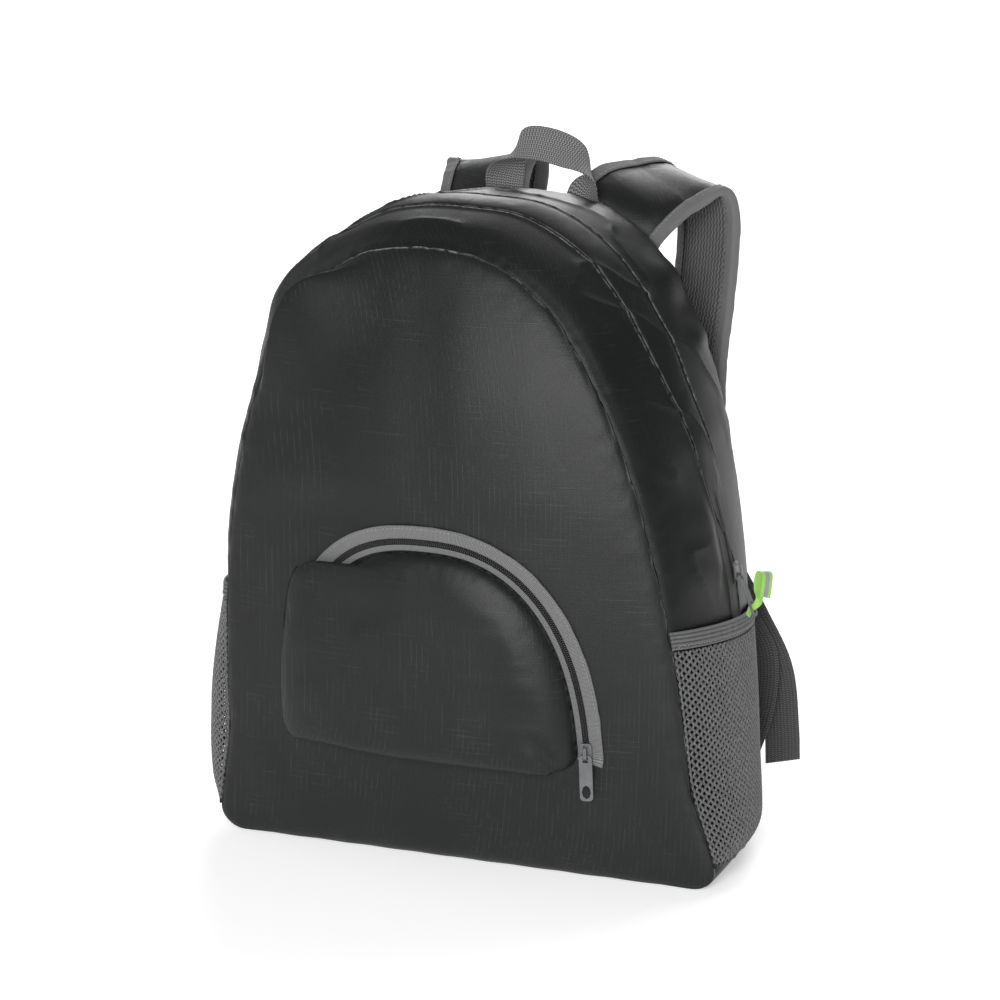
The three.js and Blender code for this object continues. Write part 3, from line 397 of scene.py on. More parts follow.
# A wall between two grids of points: both faces, and rims that join their borders. A ring's columns
# run right round from its middle, so its last column is dropped and only its outer border has a rim.
def addWall(name, outer, inner, look, stands=(), body="bag", marks=None, ring=False):
    if ring:
        outer, inner = outer[:, :-1], inner[:, :-1]
        marks = {key: values[:, :-1] for key, values in (marks or {}).items()}
    rows, columns = outer.shape[:2]
    count = rows * columns
    index = np.arange(count).reshape(rows, columns)
    if ring:
        border, after = index[-1], np.roll(index[-1], -1)
        wrapped = np.concatenate([index, index[:, :1]], 1)
        front = np.stack([wrapped[:-1, :-1], wrapped[:-1, 1:], wrapped[1:, 1:], wrapped[1:, :-1]], -1).reshape(-1, 4)
        rim = np.stack([after, after + count, border + count, border], -1)
    else:
        border = np.concatenate([index[0], index[1:, -1], index[-1, -2::-1], index[-2:0:-1, 0]])
        after = np.roll(border, -1)
        front = gridQuads(rows, columns)
        rim = np.stack([border, border + count, after + count, after], -1)
    faces = np.concatenate([front, front[:, ::-1] + count, rim]).tolist()
    doubled = {}
    for key, values in (marks or {}).items():
        other = values.copy()
        if key == "cloth":
            other[..., 2] = 1
        doubled[key] = np.concatenate([values.reshape(count, -1), other.reshape(count, -1)])
        if key != "cloth":
            doubled[key] = doubled[key].ravel()
    points = np.concatenate([outer.reshape(-1, 3), inner.reshape(-1, 3)])
    return addPiece(name, points, faces, look, stands, body, doubled)


# Unit normals of a grid: the cross product of its steps along rows and along columns.
def gridNormals(grid):
    return unit(np.cross(np.gradient(grid, axis=1), np.gradient(grid, axis=0)))


# A grid set back by a thickness, away from the side that a guide direction points to.
def setBack(grid, thickness, guide):
    normals = gridNormals(grid)
    normals *= np.where((normals * guide).sum(-1, keepdims=True) < 0, -1, 1)
    return grid - normals * thickness


# Round strands: rings of points round each path, set square to it, closed by a fan at both ends.
# paths is strands x steps x 3, out points away from the cloth, and wide and tall scale the section.
def addStrands(name, paths, out, radius, look, sides=6, wide=1.0, tall=1.0, body="bag", stands=()):
    count, steps = paths.shape[:2]
    along = unit(np.gradient(paths, axis=1))
    side = unit(np.cross(along, np.broadcast_to(out, paths.shape)))
    up = np.cross(side, along)
    angle = np.arange(sides) * 2 * math.pi / sides
    reach = np.broadcast_to(np.asarray(radius, float), (count, steps))[..., None, None]
    rings = paths[:, :, None] + reach * (
        wide * np.cos(angle)[:, None] * side[:, :, None] + tall * np.sin(angle)[:, None] * up[:, :, None]
    )
    block = steps * sides
    index = (np.arange(count) * block)[:, None, None] + np.arange(block).reshape(steps, sides)
    after = np.roll(index, -1, axis=2)
    walls = np.stack([index[:, :-1], after[:, :-1], after[:, 1:], index[:, 1:]], -1).reshape(-1, 4)
    caps = [index[:, 0, ::-1], index[:, -1]]
    faces = walls[:, ::-1].tolist() + caps[0][:, ::-1].tolist() + caps[1][:, ::-1].tolist()
    return addPiece(name, rings, faces, look, stands, body, weld=False)


# Stitches in a row: each is a short thread that rises out of the cloth between its two holes.
# line(s) gives the place and the way out at distances s along a seam of that length.
def addStitches(name, line, length, look, pitch=3.2, share=0.68, radius=0.24, rise=0.35, body="bag"):
    starts = np.arange(0, length - pitch, pitch)[:, None]
    part = np.linspace(0, 1, 6)
    place, out = line(starts + part * pitch * share)
    lifted = place + out * (rise * np.sin(math.pi * part) - 0.12)[None, :, None]
    swell = radius * (0.45 + 0.55 * np.sin(math.pi * part) ** 0.6)
    return addStrands(name, lifted, out, swell, look, 5, body=body)


# The stuffed shell, with the part's own sizes.
shell = {
    "halfWidth": 160, "backHalfWidth": 151, "height": 400, "depth": 134, "corner": 15, "cloth": 1.6,
    "frontPuff": 24, "backPuff": 7, "gussetBulge": 15, "leftFold": 13, "foldHeight": 348, "foldSpread": 26,
    "shoulderRise": 16, "lean": 22, "rightFlare": 14, "leftFlare": 12, "seamGap": 0.3, "centre": 0.42,
}
frontArch = {"right": (2.35, 2.25), "left": (2.6, 2.4)}
backArch = {"right": (2.9, 2.6), "left": (2.55, 2.4)}
pocketArch = {"right": (2.4, 2.4), "left": (2.6, 2.6)}


# An arch's border: a flat foot, round corners, then superellipse sides that meet at its top.
class Outline:
    def __init__(self, halfWidth, height, corner, arch):
        halves = []
        for top, side in (arch["right"], arch["left"]):
            bend = (np.arange(1, 9) / 8 - 1) * math.pi / 2
            rise = np.arange(1, 120) / 120 * math.pi / 2
            foot = np.array([[0, 0], [halfWidth - corner, 0]])
            bendAt = np.stack([halfWidth - corner + corner * np.cos(bend), corner + corner * np.sin(bend)], -1)
            width = halfWidth * np.cos(rise) ** (2 / top)
            sideAt = np.stack([width, corner + (height - corner) * np.sin(rise) ** (2 / side)], -1)
            halves.append(np.concatenate([foot, bendAt, sideAt]))
        left = (halves[1] * [-1, 1])[::-1]
        self.points = np.concatenate([halves[0], [[0, height]], left])
        steps = np.linalg.norm(np.diff(self.points, axis=0), axis=1)
        self.travel = np.concatenate([[0], np.cumsum(steps)])
        self.length = self.travel[-1]

    # The point at share t round the border.
    def at(self, t):
        place = np.mod(t, 1) * self.length
        return np.stack([np.interp(place, self.travel, self.points[:, k]) for k in (0, 1)], -1)

    # The direction out of the border at share t, from points a little before and after it.
    def out(self, t):
        along = unit(self.at(np.asarray(t) + 0.001) - self.at(np.asarray(t) - 0.001))
        return np.stack([along[..., 1], -along[..., 0]], -1)

    # How far points lie from the border, and the share of the border nearest to them.
    def nearest(self, x, z, samples=480):
        t = np.arange(samples) / samples
        border = self.at(t)
        flatX, flatZ = x.ravel(), z.ravel()
        away = np.hypot(flatX[:, None] - border[:, 0], flatZ[:, None] - border[:, 1])
        best = away.argmin(axis=1)
        return away[np.arange(len(best)), best].reshape(x.shape), t[best].reshape(x.shape)


frontLine = Outline(shell["halfWidth"], shell["height"], shell["corner"], frontArch)
backLine = Outline(shell["backHalfWidth"], shell["height"], shell["corner"], backArch)


def halfDepth(z):
    h = np.clip(z / shell["height"], 0, 1)
    return shell["depth"] / 2 * (0.92 + 0.09 * np.sin(math.pi * h) - 0.09 * smooth(h, 0.75, 1))


# Sideways sag, which fades towards the back, and the base corners pushed out by the stuffing.
def sway(x, z, v):
    flare = np.where(x > 0, shell["rightFlare"], shell["leftFlare"])
    low = 1 - smooth(z / shell["height"], 0, 0.2)
    return (1 - v**2) * flare * low * x / shell["halfWidth"] - (1 - v) * shell["lean"] * z / shell["height"]


def swellAcross(v):
    return np.sin(math.pi * np.clip(v, 0, 1) ** 0.8)


# A point of the gusset at share t round the arch and v from front seam to back seam: the two borders
# mixed by v, moved out of the arch by the swell, the shoulder's fold and an offset.
def gussetPoint(t, v, outwards=0.0, forwards=0.0):
    t, v = np.broadcast_arrays(np.asarray(t, float), np.asarray(v, float))
    point = lerp(frontLine.at(t), backLine.at(t), v[..., None])
    out = unit(lerp(frontLine.out(t), backLine.out(t), v[..., None]))
    x, z = point[..., 0], point[..., 1]
    share = z / shell["height"]
    fold = np.where(x < 0, shell["leftFold"] * np.exp(-(((z - shell["foldHeight"]) / shell["foldSpread"]) ** 2)), 0)
    bulge = (shell["gussetBulge"] * smooth(share, 0, 0.08) + fold) * swellAcross(v) ** 0.8 + outwards
    rise = shell["shoulderRise"] * smooth(share, 0.5, 1) * v
    px = x + out[..., 0] * bulge + sway(x, z, v)
    return np.stack([px, halfDepth(z) * (2 * v - 1) - forwards, z + out[..., 1] * bulge + rise], -1)


def frontReach(z, arch):
    top, side = arch
    corner = shell["corner"]
    low = shell["halfWidth"] - corner + np.sqrt(np.maximum(corner**2 - (corner - z) ** 2, 0))
    share = np.clip((z - corner) / (shell["height"] - corner), 0, 1)
    return np.where(z < corner, low, shell["halfWidth"] * (1 - share**side) ** (1 / top))


# The front panel's face: pushed forward most in its middle, by 1 - edge^2.4 times a half sine of height.
def frontPoint(x, z, stand=0.0):
    reach = np.where(x > 0, frontReach(z, frontArch["right"]), frontReach(z, frontArch["left"]))
    edge = np.minimum(np.abs(x) / np.maximum(reach, 1), 1)
    crown = (1 - edge**2.4) * np.sin(math.pi * np.clip(z / shell["height"], 0, 1)) ** 0.6
    y = -halfDepth(z) - shell["seamGap"] - shell["cloth"] - shell["frontPuff"] * crown - stand
    return np.stack([x + sway(x, z, 0), y, z], -1)


pocket = {
    "halfWidth": 91, "height": 138, "bottom": 74, "corner": 14, "overhang": 30, "underhang": 5, "seamInset": 0.7,
    "leftInset": 4, "stand": 19, "topStand": 11, "cloth": 1.6,
}
pocketLine = Outline(pocket["halfWidth"], pocket["height"], pocket["corner"], pocketArch)


# 1 away from the pocket and its zipper, 0 on them, so that the cloth under them keeps the part's form.
def offPocket(x, z):
    wide = np.abs(x + 8) / (pocket["halfWidth"] + 34)
    high = np.abs(z - pocket["bottom"] - pocket["height"] / 2 + 4) / (pocket["height"] / 2 + 26)
    return smooth((wide**4 + high**4) ** 0.25, 0.92, 1.25)


# The seam's roll: cloth rises out of the stitched line within a few millimetres of it.
def seamRoll(away, height=1.5, width=2.4):
    return height * (1 - np.exp(-away / width))


# Short folds that the stitches gather, square to the seam: noise along it, fading with the way from it.
def puckers(travel, away, seed, depth=1.0, pitch=8.0, reach=15.0):
    rise = 1 - np.exp(-away / 3)
    wave = noise(travel / pitch, away / (reach * 2.2), seed) + 0.5 * noise(travel / pitch * 2.3, away / reach, seed + 7)
    return depth * wave * rise * np.exp(-away / reach)


# The front panel: a round grid that narrows towards its seam, from a middle low on the bag.
def frontFolds(x, z):
    away, t = frontLine.nearest(x, z)
    travel = t * frontLine.length
    broad = 2.0 * noise(x / 68 + 3, z / 190, 11) + 0.7 * noise(x / 31, z / 84, 12)
    free = offPocket(x, z)
    seam = seamRoll(away, 2.0, 2.2) * free + puckers(travel, away, 21, 0.55, 9, 9)
    return seam + broad * smooth(away, 4, 40) * free


# The front seam's waver, out of the arch: two sizes of noise along it, none near the floor.
def seamWaver(t):
    travel = np.asarray(t, float) * frontLine.length
    wave = 0.8 * noise(travel / 13, 0.5, 17) + 0.5 * noise(travel / 5.3, 0.5, 18)
    return wave * smooth(frontLine.at(t)[..., 1], 12, 50)


# The upper left of the front panel sags out over its own seam: most at 9 mm from the seam, and back to
# nothing at the seam itself and 75 mm inside it.
def shoulderSag(x, z, away):
    high = smooth(z, 283, 366) * (1 - smooth(z, 370, 396)) * smooth(-x, 30, 80)
    return 20 * high * smooth(away, 0, 9) * (1 - smooth(away, 9, 75))


def frontPanel():
    columns, rows = 520, 84
    t = np.linspace(0, 1, columns + 1) + 0.5
    share = 1 - (1 - np.linspace(0, 1, rows + 1)) ** 1.6
    border = frontLine.at(t) + frontLine.out(t) * seamWaver(t)[:, None]
    middle = np.array([0, shell["centre"] * shell["height"]])
    spot = lerp(middle, border[None], share[:, None, None])
    x, z = spot[..., 0], spot[..., 1]
    away = np.broadcast_to(np.linalg.norm(spot - border[None], axis=-1), x.shape)
    sag = shoulderSag(x, z, away)
    outer = frontPoint(x, z, frontFolds(x, z) + 0.35 * sag) - sag[..., None] * [0.86, 0, -0.3]
    # Painted highlight on the front seam's edge: strongest at the top of the arch just left of the middle, and in noisy
    # patches on its sides from 120 to 260 mm up.
    bright = np.exp(-(((x + 18) / 42) ** 2)) * smooth(z, 330, 385)
    bright = bright + 0.35 * smooth(z, 120, 260) * smooth(noise(x / 12, z / 12, 31), 0.0, 0.6)
    marks = {"edge": away * 0.9, "paintedHighlight": np.clip(bright, 0, 1)}
    addWall("front_cloth", outer, outer + [0, 1.2, 0], nylon, ["front_panel"], marks=marks, ring=True)


frontPanel()
print("front panel made")

# The main zipper: a band between the gusset's two cloths, under a flap that opens at both ends.
zipBand = {"endHeight": 175, "band": 25, "apexPlace": 0.3, "endPlace": 0.5, "coilWidth": 5, "coilHeight": 1.8}
net = {
    "lowHeight": 17, "clearance": 0.6, "frontHeight": 169, "backHeight": 150, "wall": 2, "binding": 12,
    "bindingWall": 2, "right": (7, 4), "left": (21, 1.5),
}


# The share round the front border, on its right side, where it reaches a height.
rightShares = np.linspace(0.1, 0.5, 1200)


def shareAtHeight(height):
    return np.interp(height, frontLine.at(rightShares)[:, 1], rightShares)


zipEnd = shareAtHeight(zipBand["endHeight"])


def asDepth(t, length):
    return length / (2 * halfDepth(frontLine.at(t)[..., 1]))


def zipPlace(t):
    fromApex = np.abs(t - 0.5) / (0.5 - zipEnd)
    return lerp(zipBand["apexPlace"], zipBand["endPlace"], smooth(fromApex, 0.45, 1))


# Folds of the gusset: rolls and puckers at both seams, broad waves between them, a dip behind the top
# of the front seam, and a few bumps at the right shoulder. None under the nets.
def gussetFolds(t, v):
    t, v = np.broadcast_arrays(np.asarray(t, float), np.asarray(v, float))
    spot = frontLine.at(t)
    x, z = spot[..., 0], spot[..., 1]
    depth = 2 * halfDepth(z)
    front, back = np.maximum(v, 0) * depth, np.maximum(1 - v, 0) * depth
    travel = t * frontLine.length
    tall = smooth(z, 165, 200)
    right = np.where(x > 0, 1.0, 0.0)
    broad = 1.5 * noise(travel / 62, front / 70 + 9, 41) + 0.9 * noise(travel / 27, front / 45, 42)
    seams = seamRoll(np.minimum(front, back), 1.8, 2.2) + puckers(travel, front, 43, 0.6, 9, 8)
    seams = seams + puckers(travel, back, 44, 1.1, 12, 12)
    dip = 3.2 * np.exp(-(((x + 35) / 70) ** 2)) * smooth(z, 340, 385) * np.exp(-(((front - 7) / 6) ** 2))
    bumps = np.exp(-(((z - 352) / 10) ** 2)) + 0.75 * np.exp(-(((z - 318) / 8) ** 2)) - 0.5 * np.exp(-(((z - 334) / 8) ** 2))
    shoulder = 4.5 * right * bumps * smooth(back, 2, 14) * (1 - smooth(back, 26, 50))
    high = smooth(z, 296, 316) * (1 - smooth(z, 372, 392)) * (1 - right)
    fold = high * (2.0 * np.exp(-(((front - 22) / 9) ** 2)) - 3.5 * np.exp(-(((front - 40 - (z - 330) * 0.2) / 6) ** 2)))
    diagonal = 1.6 * crease(travel / 46 + front / 60, front / 48, 46, 5.0)
    pullRoom = right * (1 - smooth(z, 225, 270)) * smooth(v, 0.35, 0.5)
    middle = smooth(np.minimum(front, back), 3, 22)
    folds = (seams - dip + shoulder + fold + (broad + diagonal) * middle) * tall * (1 - pullRoom)
    return folds + seamWaver(t) * np.exp(-((front / 5) ** 2))


# The cloth at share t and v, lifted off the folds.
def gussetCloth(t, v, lift=0.0, calm=0.0):
    return gussetPoint(t, v, gussetFolds(t, v) * (1 - calm) + lift)


# A fold's rounded lip: its cloth stands higher within a couple of millimetres of its edge.
def lip(away, height, width=2.2):
    return height * np.exp(-((away / width) ** 2))


def gussetStrip(name, t, v, lift, thickness, look, stands, marks):
    outer = gussetCloth(t, v, lift)
    inner = gussetCloth(t, v, lift - thickness)
    addWall(name, outer, inner, look, stands, marks=marks)


# How far the flap's free edge has moved back off the coil near the zipper's two ends, 0 to 1.
def flapOpen(t):
    fromEnd = (0.5 - zipEnd - np.abs(t - 0.5)) * frontLine.length
    return 1 - smooth(fromEnd, 12, 62)


# The upper cloths end behind the nets' bindings, on a line that slants down towards the back.
def hiddenEnd(v):
    return shareAtHeight(lerp(net["frontHeight"], net["backHeight"], v) - net["binding"] + 1)


# Shares round the gusset for a cloth between two places across, with both of its ends on that line.
def gussetShares(columns, low, high, rows):
    end = hiddenEnd(lerp(low, high, np.asarray(rows, float)))[None]
    return lerp(end, 1 - end, np.linspace(0, 1, columns + 1)[:, None])


def gusset():
    rows = 1 - (1 - np.linspace(0, 1, 25)) ** 1.4
    t = gussetShares(640, 0, 0.5, rows)
    travel = t * frontLine.length
    waver = 0.35 * noise(travel / 5, 0.5, 51) + 0.3 * noise(travel / 17, 0.5, 52)
    near = zipPlace(t)
    depth = 2 * halfDepth(frontLine.at(t)[..., 1])
    v = lerp(-1.5 / depth, near + waver / depth, rows)
    away = (near - v) * depth
    # Painted highlight along the front cloth's folded edge at the zipper, strongest near the top of the arch.
    edgeHighlightShare = np.broadcast_to(smooth(np.abs(frontLine.at(t)[..., 0] + 5), 150, 60) * 0.55 + 0.45, v.shape)
    marks = {"edge": away * 0.9, "paintedHighlight": edgeHighlightShare * 1.0}
    gussetStrip("gusset_front_cloth", t, v, lip(away, 0.9), 1.2, sideNylon, ["gusset_front"], marks)

    rows = np.linspace(0, 1, 34) ** 1.4
    t = gussetShares(640, 0.65, 1, rows)
    waver = 0.35 * noise(t * frontLine.length / 5, 0.5, 51) + 0.3 * noise(t * frontLine.length / 17, 0.5, 52)
    depth = 2 * halfDepth(frontLine.at(t)[..., 1])
    far = zipPlace(t) + asDepth(t, zipBand["band"])
    v = lerp(far + 0.4 * waver / depth, 1 + 1.5 / depth, rows)
    away = (v - far) * depth
    # Painted highlight along the rear cloth's folded edge beside the flap, at 0.6 strength.
    marks = {"edge": away * 1.5 + 0.35, "paintedHighlight": np.full(v.shape, 0.6)}
    calm = smooth(frontLine.at(t)[..., 1], 225, 270)
    gussetStrip("gusset_rear_cloth", t, v, lip(away, 1.2, 1.8) * calm, 1.2, sideNylon, ["gusset_rear"], marks)

    # The tape lies level with the cloth under the flap, and the coil runs along its middle.
    rows = np.linspace(0.01, 0.99, 9)
    t = gussetShares(620, 0.5, 0.65, rows)
    travel = t * frontLine.length
    v = zipPlace(t) + asDepth(t, zipBand["band"]) * rows
    cloth = np.stack(np.broadcast_arrays((rows - 0.5) * zipBand["band"], travel, 0 * v), -1)
    marks = {"cloth": cloth}
    gussetStrip("main_zip_band", t, v, -0.5, 1.1, darkTape, ["main_zip_tape"], marks)

    # The flap: sewn along the rear seam, with a free edge that covers the front cloth's lip.
    rows = np.linspace(0, 1, 17)
    t = gussetShares(620, 0.5, 0.65, rows)
    travel = t * frontLine.length
    depth = 2 * halfDepth(frontLine.at(t)[..., 1])
    waver = 0.35 * noise(travel / 5, 0.5, 51) + 0.3 * noise(travel / 17, 0.5, 52)
    near, far = zipPlace(t), zipPlace(t) + asDepth(t, zipBand["band"])
    opened = flapOpen(t)
    edge = lerp(near + (1.4 + 0.4 * waver) / depth, far - asDepth(t, 4.0), opened * 0.92)
    v = lerp(edge, far - asDepth(t, 0.5), rows)
    away = (v - edge) * depth
    arch = 2.3 * np.sin(math.pi * np.clip((v - near) * depth / zipBand["band"], 0, 1)) ** 0.5
    calm = smooth(frontLine.at(t)[..., 1], 225, 270)
    lift = arch * (0.1 + 0.9 * calm) * (1 - smooth(rows, 0.75, 1)) + 0.25 * noise(travel / 9, away / 12, 53) * np.sin(math.pi * rows)
    lift = np.maximum(lift, 0.45) + 0.1 + 0.15 * calm
    # Faint painted highlight along the flap's free edge.
    marks = {"edge": away + 0.3, "paintedHighlight": np.full(v.shape, 0.35)}
    gussetStrip("zip_flap", t, v, lift, 0.9, sideNylon, [], marks)

    # The lower gusset, under the nets and the base.
    rows = 0.5 - 0.512 * np.cos(math.pi * np.linspace(0, 1, 49))
    t = hiddenEnd(rows)[None] * np.linspace(-1, 1, 361)[:, None]
    v = np.broadcast_to(rows, t.shape)
    depth = 2 * halfDepth(frontLine.at(t)[..., 1])
    # Faint painted highlight along the lower gusset's seam edges.
    marks = {"edge": np.minimum(v, 1 - v) * depth + 0.4, "paintedHighlight": np.full(v.shape, 0.4)}
    gussetStrip("gusset_base_cloth", t, v, 0.0, 1.4, sideNylon, ["gusset_base"], marks)


gusset()


# Stitches at a fixed distance behind an edge of the gusset's cloth.
def gussetSeam(name, place, lift, look, first, last, pitch=2.6):
    length = (last - first) * frontLine.length

    def line(s):
        t = first + s / frontLine.length
        v = place(t)
        at = gussetCloth(t, v, lift)
        return at, unit(gussetCloth(t, v, lift + 1.0) - at)

    addStitches(name, line, length, look, pitch, 0.66, 0.17, 0.2)


flapSeam = lambda t: zipPlace(t) + asDepth(t, zipBand["band"] + 1.4)
gussetSeam("flap_stitches", flapSeam, 0.75, darkThread, zipEnd + 0.003, 0.997 - zipEnd)


# A zipper's coil: pairs of small loops, one from each tape, that reach across the line and interlock.
def addCoil(name, line, length, halfWidth, look, stands, pitch=1.3, radius=0.42, height=0.55):
    starts = np.arange(0, length, pitch)
    s = np.concatenate([starts, starts + pitch / 2])[:, None]
    hand = np.concatenate([np.ones(len(starts)), -np.ones(len(starts))])[:, None]
    part = np.linspace(0, 1, 7)
    at, side, out = line(s + 0.16 * pitch * np.sin(part * math.pi))
    across = hand * lerp(-0.28 * halfWidth, halfWidth, part)
    paths = at + side * across[..., None] + out * (height * np.sin(math.pi * (0.18 + 0.82 * (1 - part))))[None, :, None]
    addStrands(name, paths, out, radius, look, 6, stands=stands)


def mainCoilLine(s):
    t = zipEnd + 0.002 + s / frontLine.length
    v = zipPlace(t) + asDepth(t, zipBand["band"] / 2)
    at = gussetCloth(t, v, 0.15)
    side = unit(gussetCloth(t, v + 0.01) - gussetCloth(t, v - 0.01))
    return at, side, unit(gussetCloth(t, v, 1.0) - gussetCloth(t, v, 0.0))


addCoil("main_zip_teeth", mainCoilLine, (1 - 2 * zipEnd) * frontLine.length - 3, 2.5, coilNylon, ["main_zip_coil"])
print("gusset made")


def backCloth():
    columns, rows = 300, 60
    t = np.linspace(0, 1, columns + 1) + 0.5
    share = 1 - (1 - np.linspace(0, 1, rows + 1)) ** 1.4
    border = backLine.at(t)
    middle = np.array([0, shell["centre"] * shell["height"]])
    spot = lerp(middle, border[None], share[:, None, None])
    x, z = spot[..., 0], spot[..., 1]
    away, near = backLine.nearest(x, z, 360)
    folds = seamRoll(away, 1.2) + puckers(near * backLine.length, away, 61, 1.1, 10, 15)
    calm = 1 - smooth(z, 330, 360)
    folds = folds * calm + 1.6 * noise(x / 60, z / 80, 62) * smooth(away, 5, 40) * calm * smooth(z, 45, 80)
    r = share[:, None]
    y = halfDepth(z) + shell["seamGap"] + shell["backPuff"] * (1 - r**2.4) + shell["cloth"] + np.minimum(folds, 1.2) * 0.6
    rise = shell["shoulderRise"] * smooth(z / shell["height"], 0.5, 1)
    outer = np.stack([x, y, z + rise], -1)
    # Faint painted highlight along the back panel's seam edge.
    marks = {"edge": away + 0.3, "paintedHighlight": np.full(x.shape, 0.3)}
    addWall("back_cloth", outer, outer - [0, 1.2, 0], nylon, ["back_panel"], marks=marks, ring=True)


backCloth()
print("back panel made")

pocketZip = {"innerTape": 3.6, "coil": 3.4, "outerTape": 8.5, "tapeWall": 0.9, "coilHeight": 2, "stopRow": -5}
cornerEnd = pocket["halfWidth"] + (math.pi / 2 - 1) * pocket["corner"]
pocketZipStart = (cornerEnd + pocketZip["stopRow"]) / pocketLine.length


# A point beside the pocket's border, in the front panel's own face, moved off it.
def pocketEdge(s, outwards, stand):
    s, outwards = np.broadcast_arrays(np.asarray(s, float), np.asarray(outwards, float))
    at, out = pocketLine.at(s), pocketLine.out(s)
    return frontPoint(at[..., 0] + out[..., 0] * outwards, pocket["bottom"] + at[..., 1] + out[..., 1] * outwards, stand)


# Folds of the pocket: waves over its face, puckers from its zipper, and a crease that runs up from
# its lower right corner.
def pocketFolds(x, z, travel, away):
    broad = 1.5 * noise(x / 46 + 2, z / 38, 71) + 0.6 * noise(x / 21, z / 19, 72)
    level = 0.35 * noise(x / 60 + 7, z / 7.5, 73) * smooth(x, -10, 50)
    corner = 1.5 * np.exp(-(((x - 66) / 12) ** 2) - ((z - 5) / 11) ** 2)
    corner = corner - 3.2 * np.exp(-(((x - 84 + 0.6 * z) / 6) ** 2) - ((z - 10) / 12) ** 2)
    return (broad + level) * smooth(away, 3, 24) + puckers(travel, away, 74, 0.5, 8, 7) + corner * smooth(away, 0, 5)


def pocketCloth():
    columns, rows = 420, 72
    s = np.linspace(0, 1, columns + 1) + 0.5
    share = 1 - (1 - np.linspace(0, 1, rows + 1)) ** 1.7
    border, out = pocketLine.at(s)[None], pocketLine.out(s)[None]
    rise = share[:, None] ** 0.7
    bulge = smooth(rise, 0.3, 0.85) * (1 - smooth(rise, 0.9, 1))
    leftwards = smooth(-border[..., 0] / pocket["halfWidth"], 0.3, 0.75)
    beside = leftwards * (1 - smooth(border[..., 1] / pocket["height"], 0.89, 1.0))
    upper = beside * smooth(border[..., 1] / pocket["height"], 0.5, 0.85)
    drop = 13 * upper - pocket["underhang"] * np.maximum(-out[..., 1], 0)
    over = np.stack([-(pocket["overhang"] + 5 * upper) * beside, drop], -1)
    inset = lerp(pocket["seamInset"], pocket["leftInset"], beside)
    edge = border - out * inset[..., None]
    middle = np.array([0, pocket["height"] * 0.4])
    spot = lerp(middle, edge, rise[..., None]) + over * bulge[..., None]
    x, z = spot[..., 0], spot[..., 1]
    tall = lerp(pocket["stand"], pocket["topStand"], smooth(z / pocket["height"], 0, 1))
    dome = tall * np.maximum(1 - rise**7, 0) ** 0.45
    away = (1 - rise) * np.linalg.norm(border - middle, axis=-1)
    folds = pocketFolds(x, z, s[None] * pocketLine.length, away) * (1 - smooth(rise, 0.97, 1))
    outer = frontPoint(x, pocket["bottom"] + z, shell["seamGap"] + np.maximum(dome + folds, 0.05))
    inner = setBack(outer, 1.0, np.array([0, -1.0, 0]))
    inner[-1] = outer[-1] + [0, 0.25, 0]
    # Faint painted highlight along the pocket cloth's folded border.
    marks = {"edge": away + 0.4, "paintedHighlight": np.full(x.shape, 0.3)}
    addWall("pocket_cloth", outer, inner, pocketNylon, ["pocket_panel"], marks=marks, ring=True)


pocketCloth()


# One tape of the pocket's zipper: raised a little at its outer border, and gathered by its stitches.
def pocketTape(name, start, width, lift, curl, look, stands, gather=0.0):
    s = np.linspace(pocketZipStart, 1 - pocketZipStart, 561)[:, None]
    part = np.linspace(0, 1, 11)
    travel = s * pocketLine.length
    stand = lift + curl * part**2 + gather * noise(travel / 6, part * 1.3, 81) * part
    outwards = start + width * part + 0.25 * gather * noise(travel / 14, 3.3, 82) * part
    outer = pocketEdge(s, outwards, stand + pocketZip["tapeWall"])
    inner = pocketEdge(s, outwards, stand)
    cloth = np.stack(np.broadcast_arrays(start + width * part, travel, 0 * outer[..., 0]), -1)
    addWall(name, outer, inner, look, stands, marks={"cloth": cloth})


zipGap = shell["seamGap"]
coilFrom = 2 * zipGap + pocketZip["innerTape"]
outerFrom = coilFrom + zipGap + pocketZip["coil"]
pocketTape("pocket_inner_tape", zipGap, pocketZip["innerTape"], zipGap, 0.2, greyTape, ["pocket_zip_inner_tape"])
pocketTape("pocket_outer_tape", outerFrom, pocketZip["outerTape"], zipGap, 0.5, greyTape, ["pocket_zip_outer_tape"], 0.7)


def pocketCoilLine(s):
    t = pocketZipStart + s / pocketLine.length
    middle = coilFrom + pocketZip["coil"] / 2
    at = pocketEdge(t, middle, zipGap + 0.5)
    side = unit(pocketEdge(t, middle + 1, zipGap) - pocketEdge(t, middle - 1, zipGap))
    return at, side, unit(pocketEdge(t, middle, 2.0) - pocketEdge(t, middle, 0.0))


def pocketStitchLine(outwards, lift):
    def line(s):
        t = pocketZipStart + s / pocketLine.length
        at = pocketEdge(t, outwards, lift)
        return at, unit(pocketEdge(t, outwards, lift + 1) - at)

    return line


pocketRun = (1 - 2 * pocketZipStart) * pocketLine.length
addCoil("pocket_zip_teeth", pocketCoilLine, pocketRun, 1.7, coilNylon, ["pocket_zip_coil"], height=0.7)
outerSeam = pocketStitchLine(outerFrom + pocketZip["outerTape"] - 1.9, zipGap + pocketZip["tapeWall"] + 0.25)
addStitches("pocket_tape_stitches", outerSeam, pocketRun, thread, 2.4, 0.66, 0.22, 0.3)
print("pocket made")


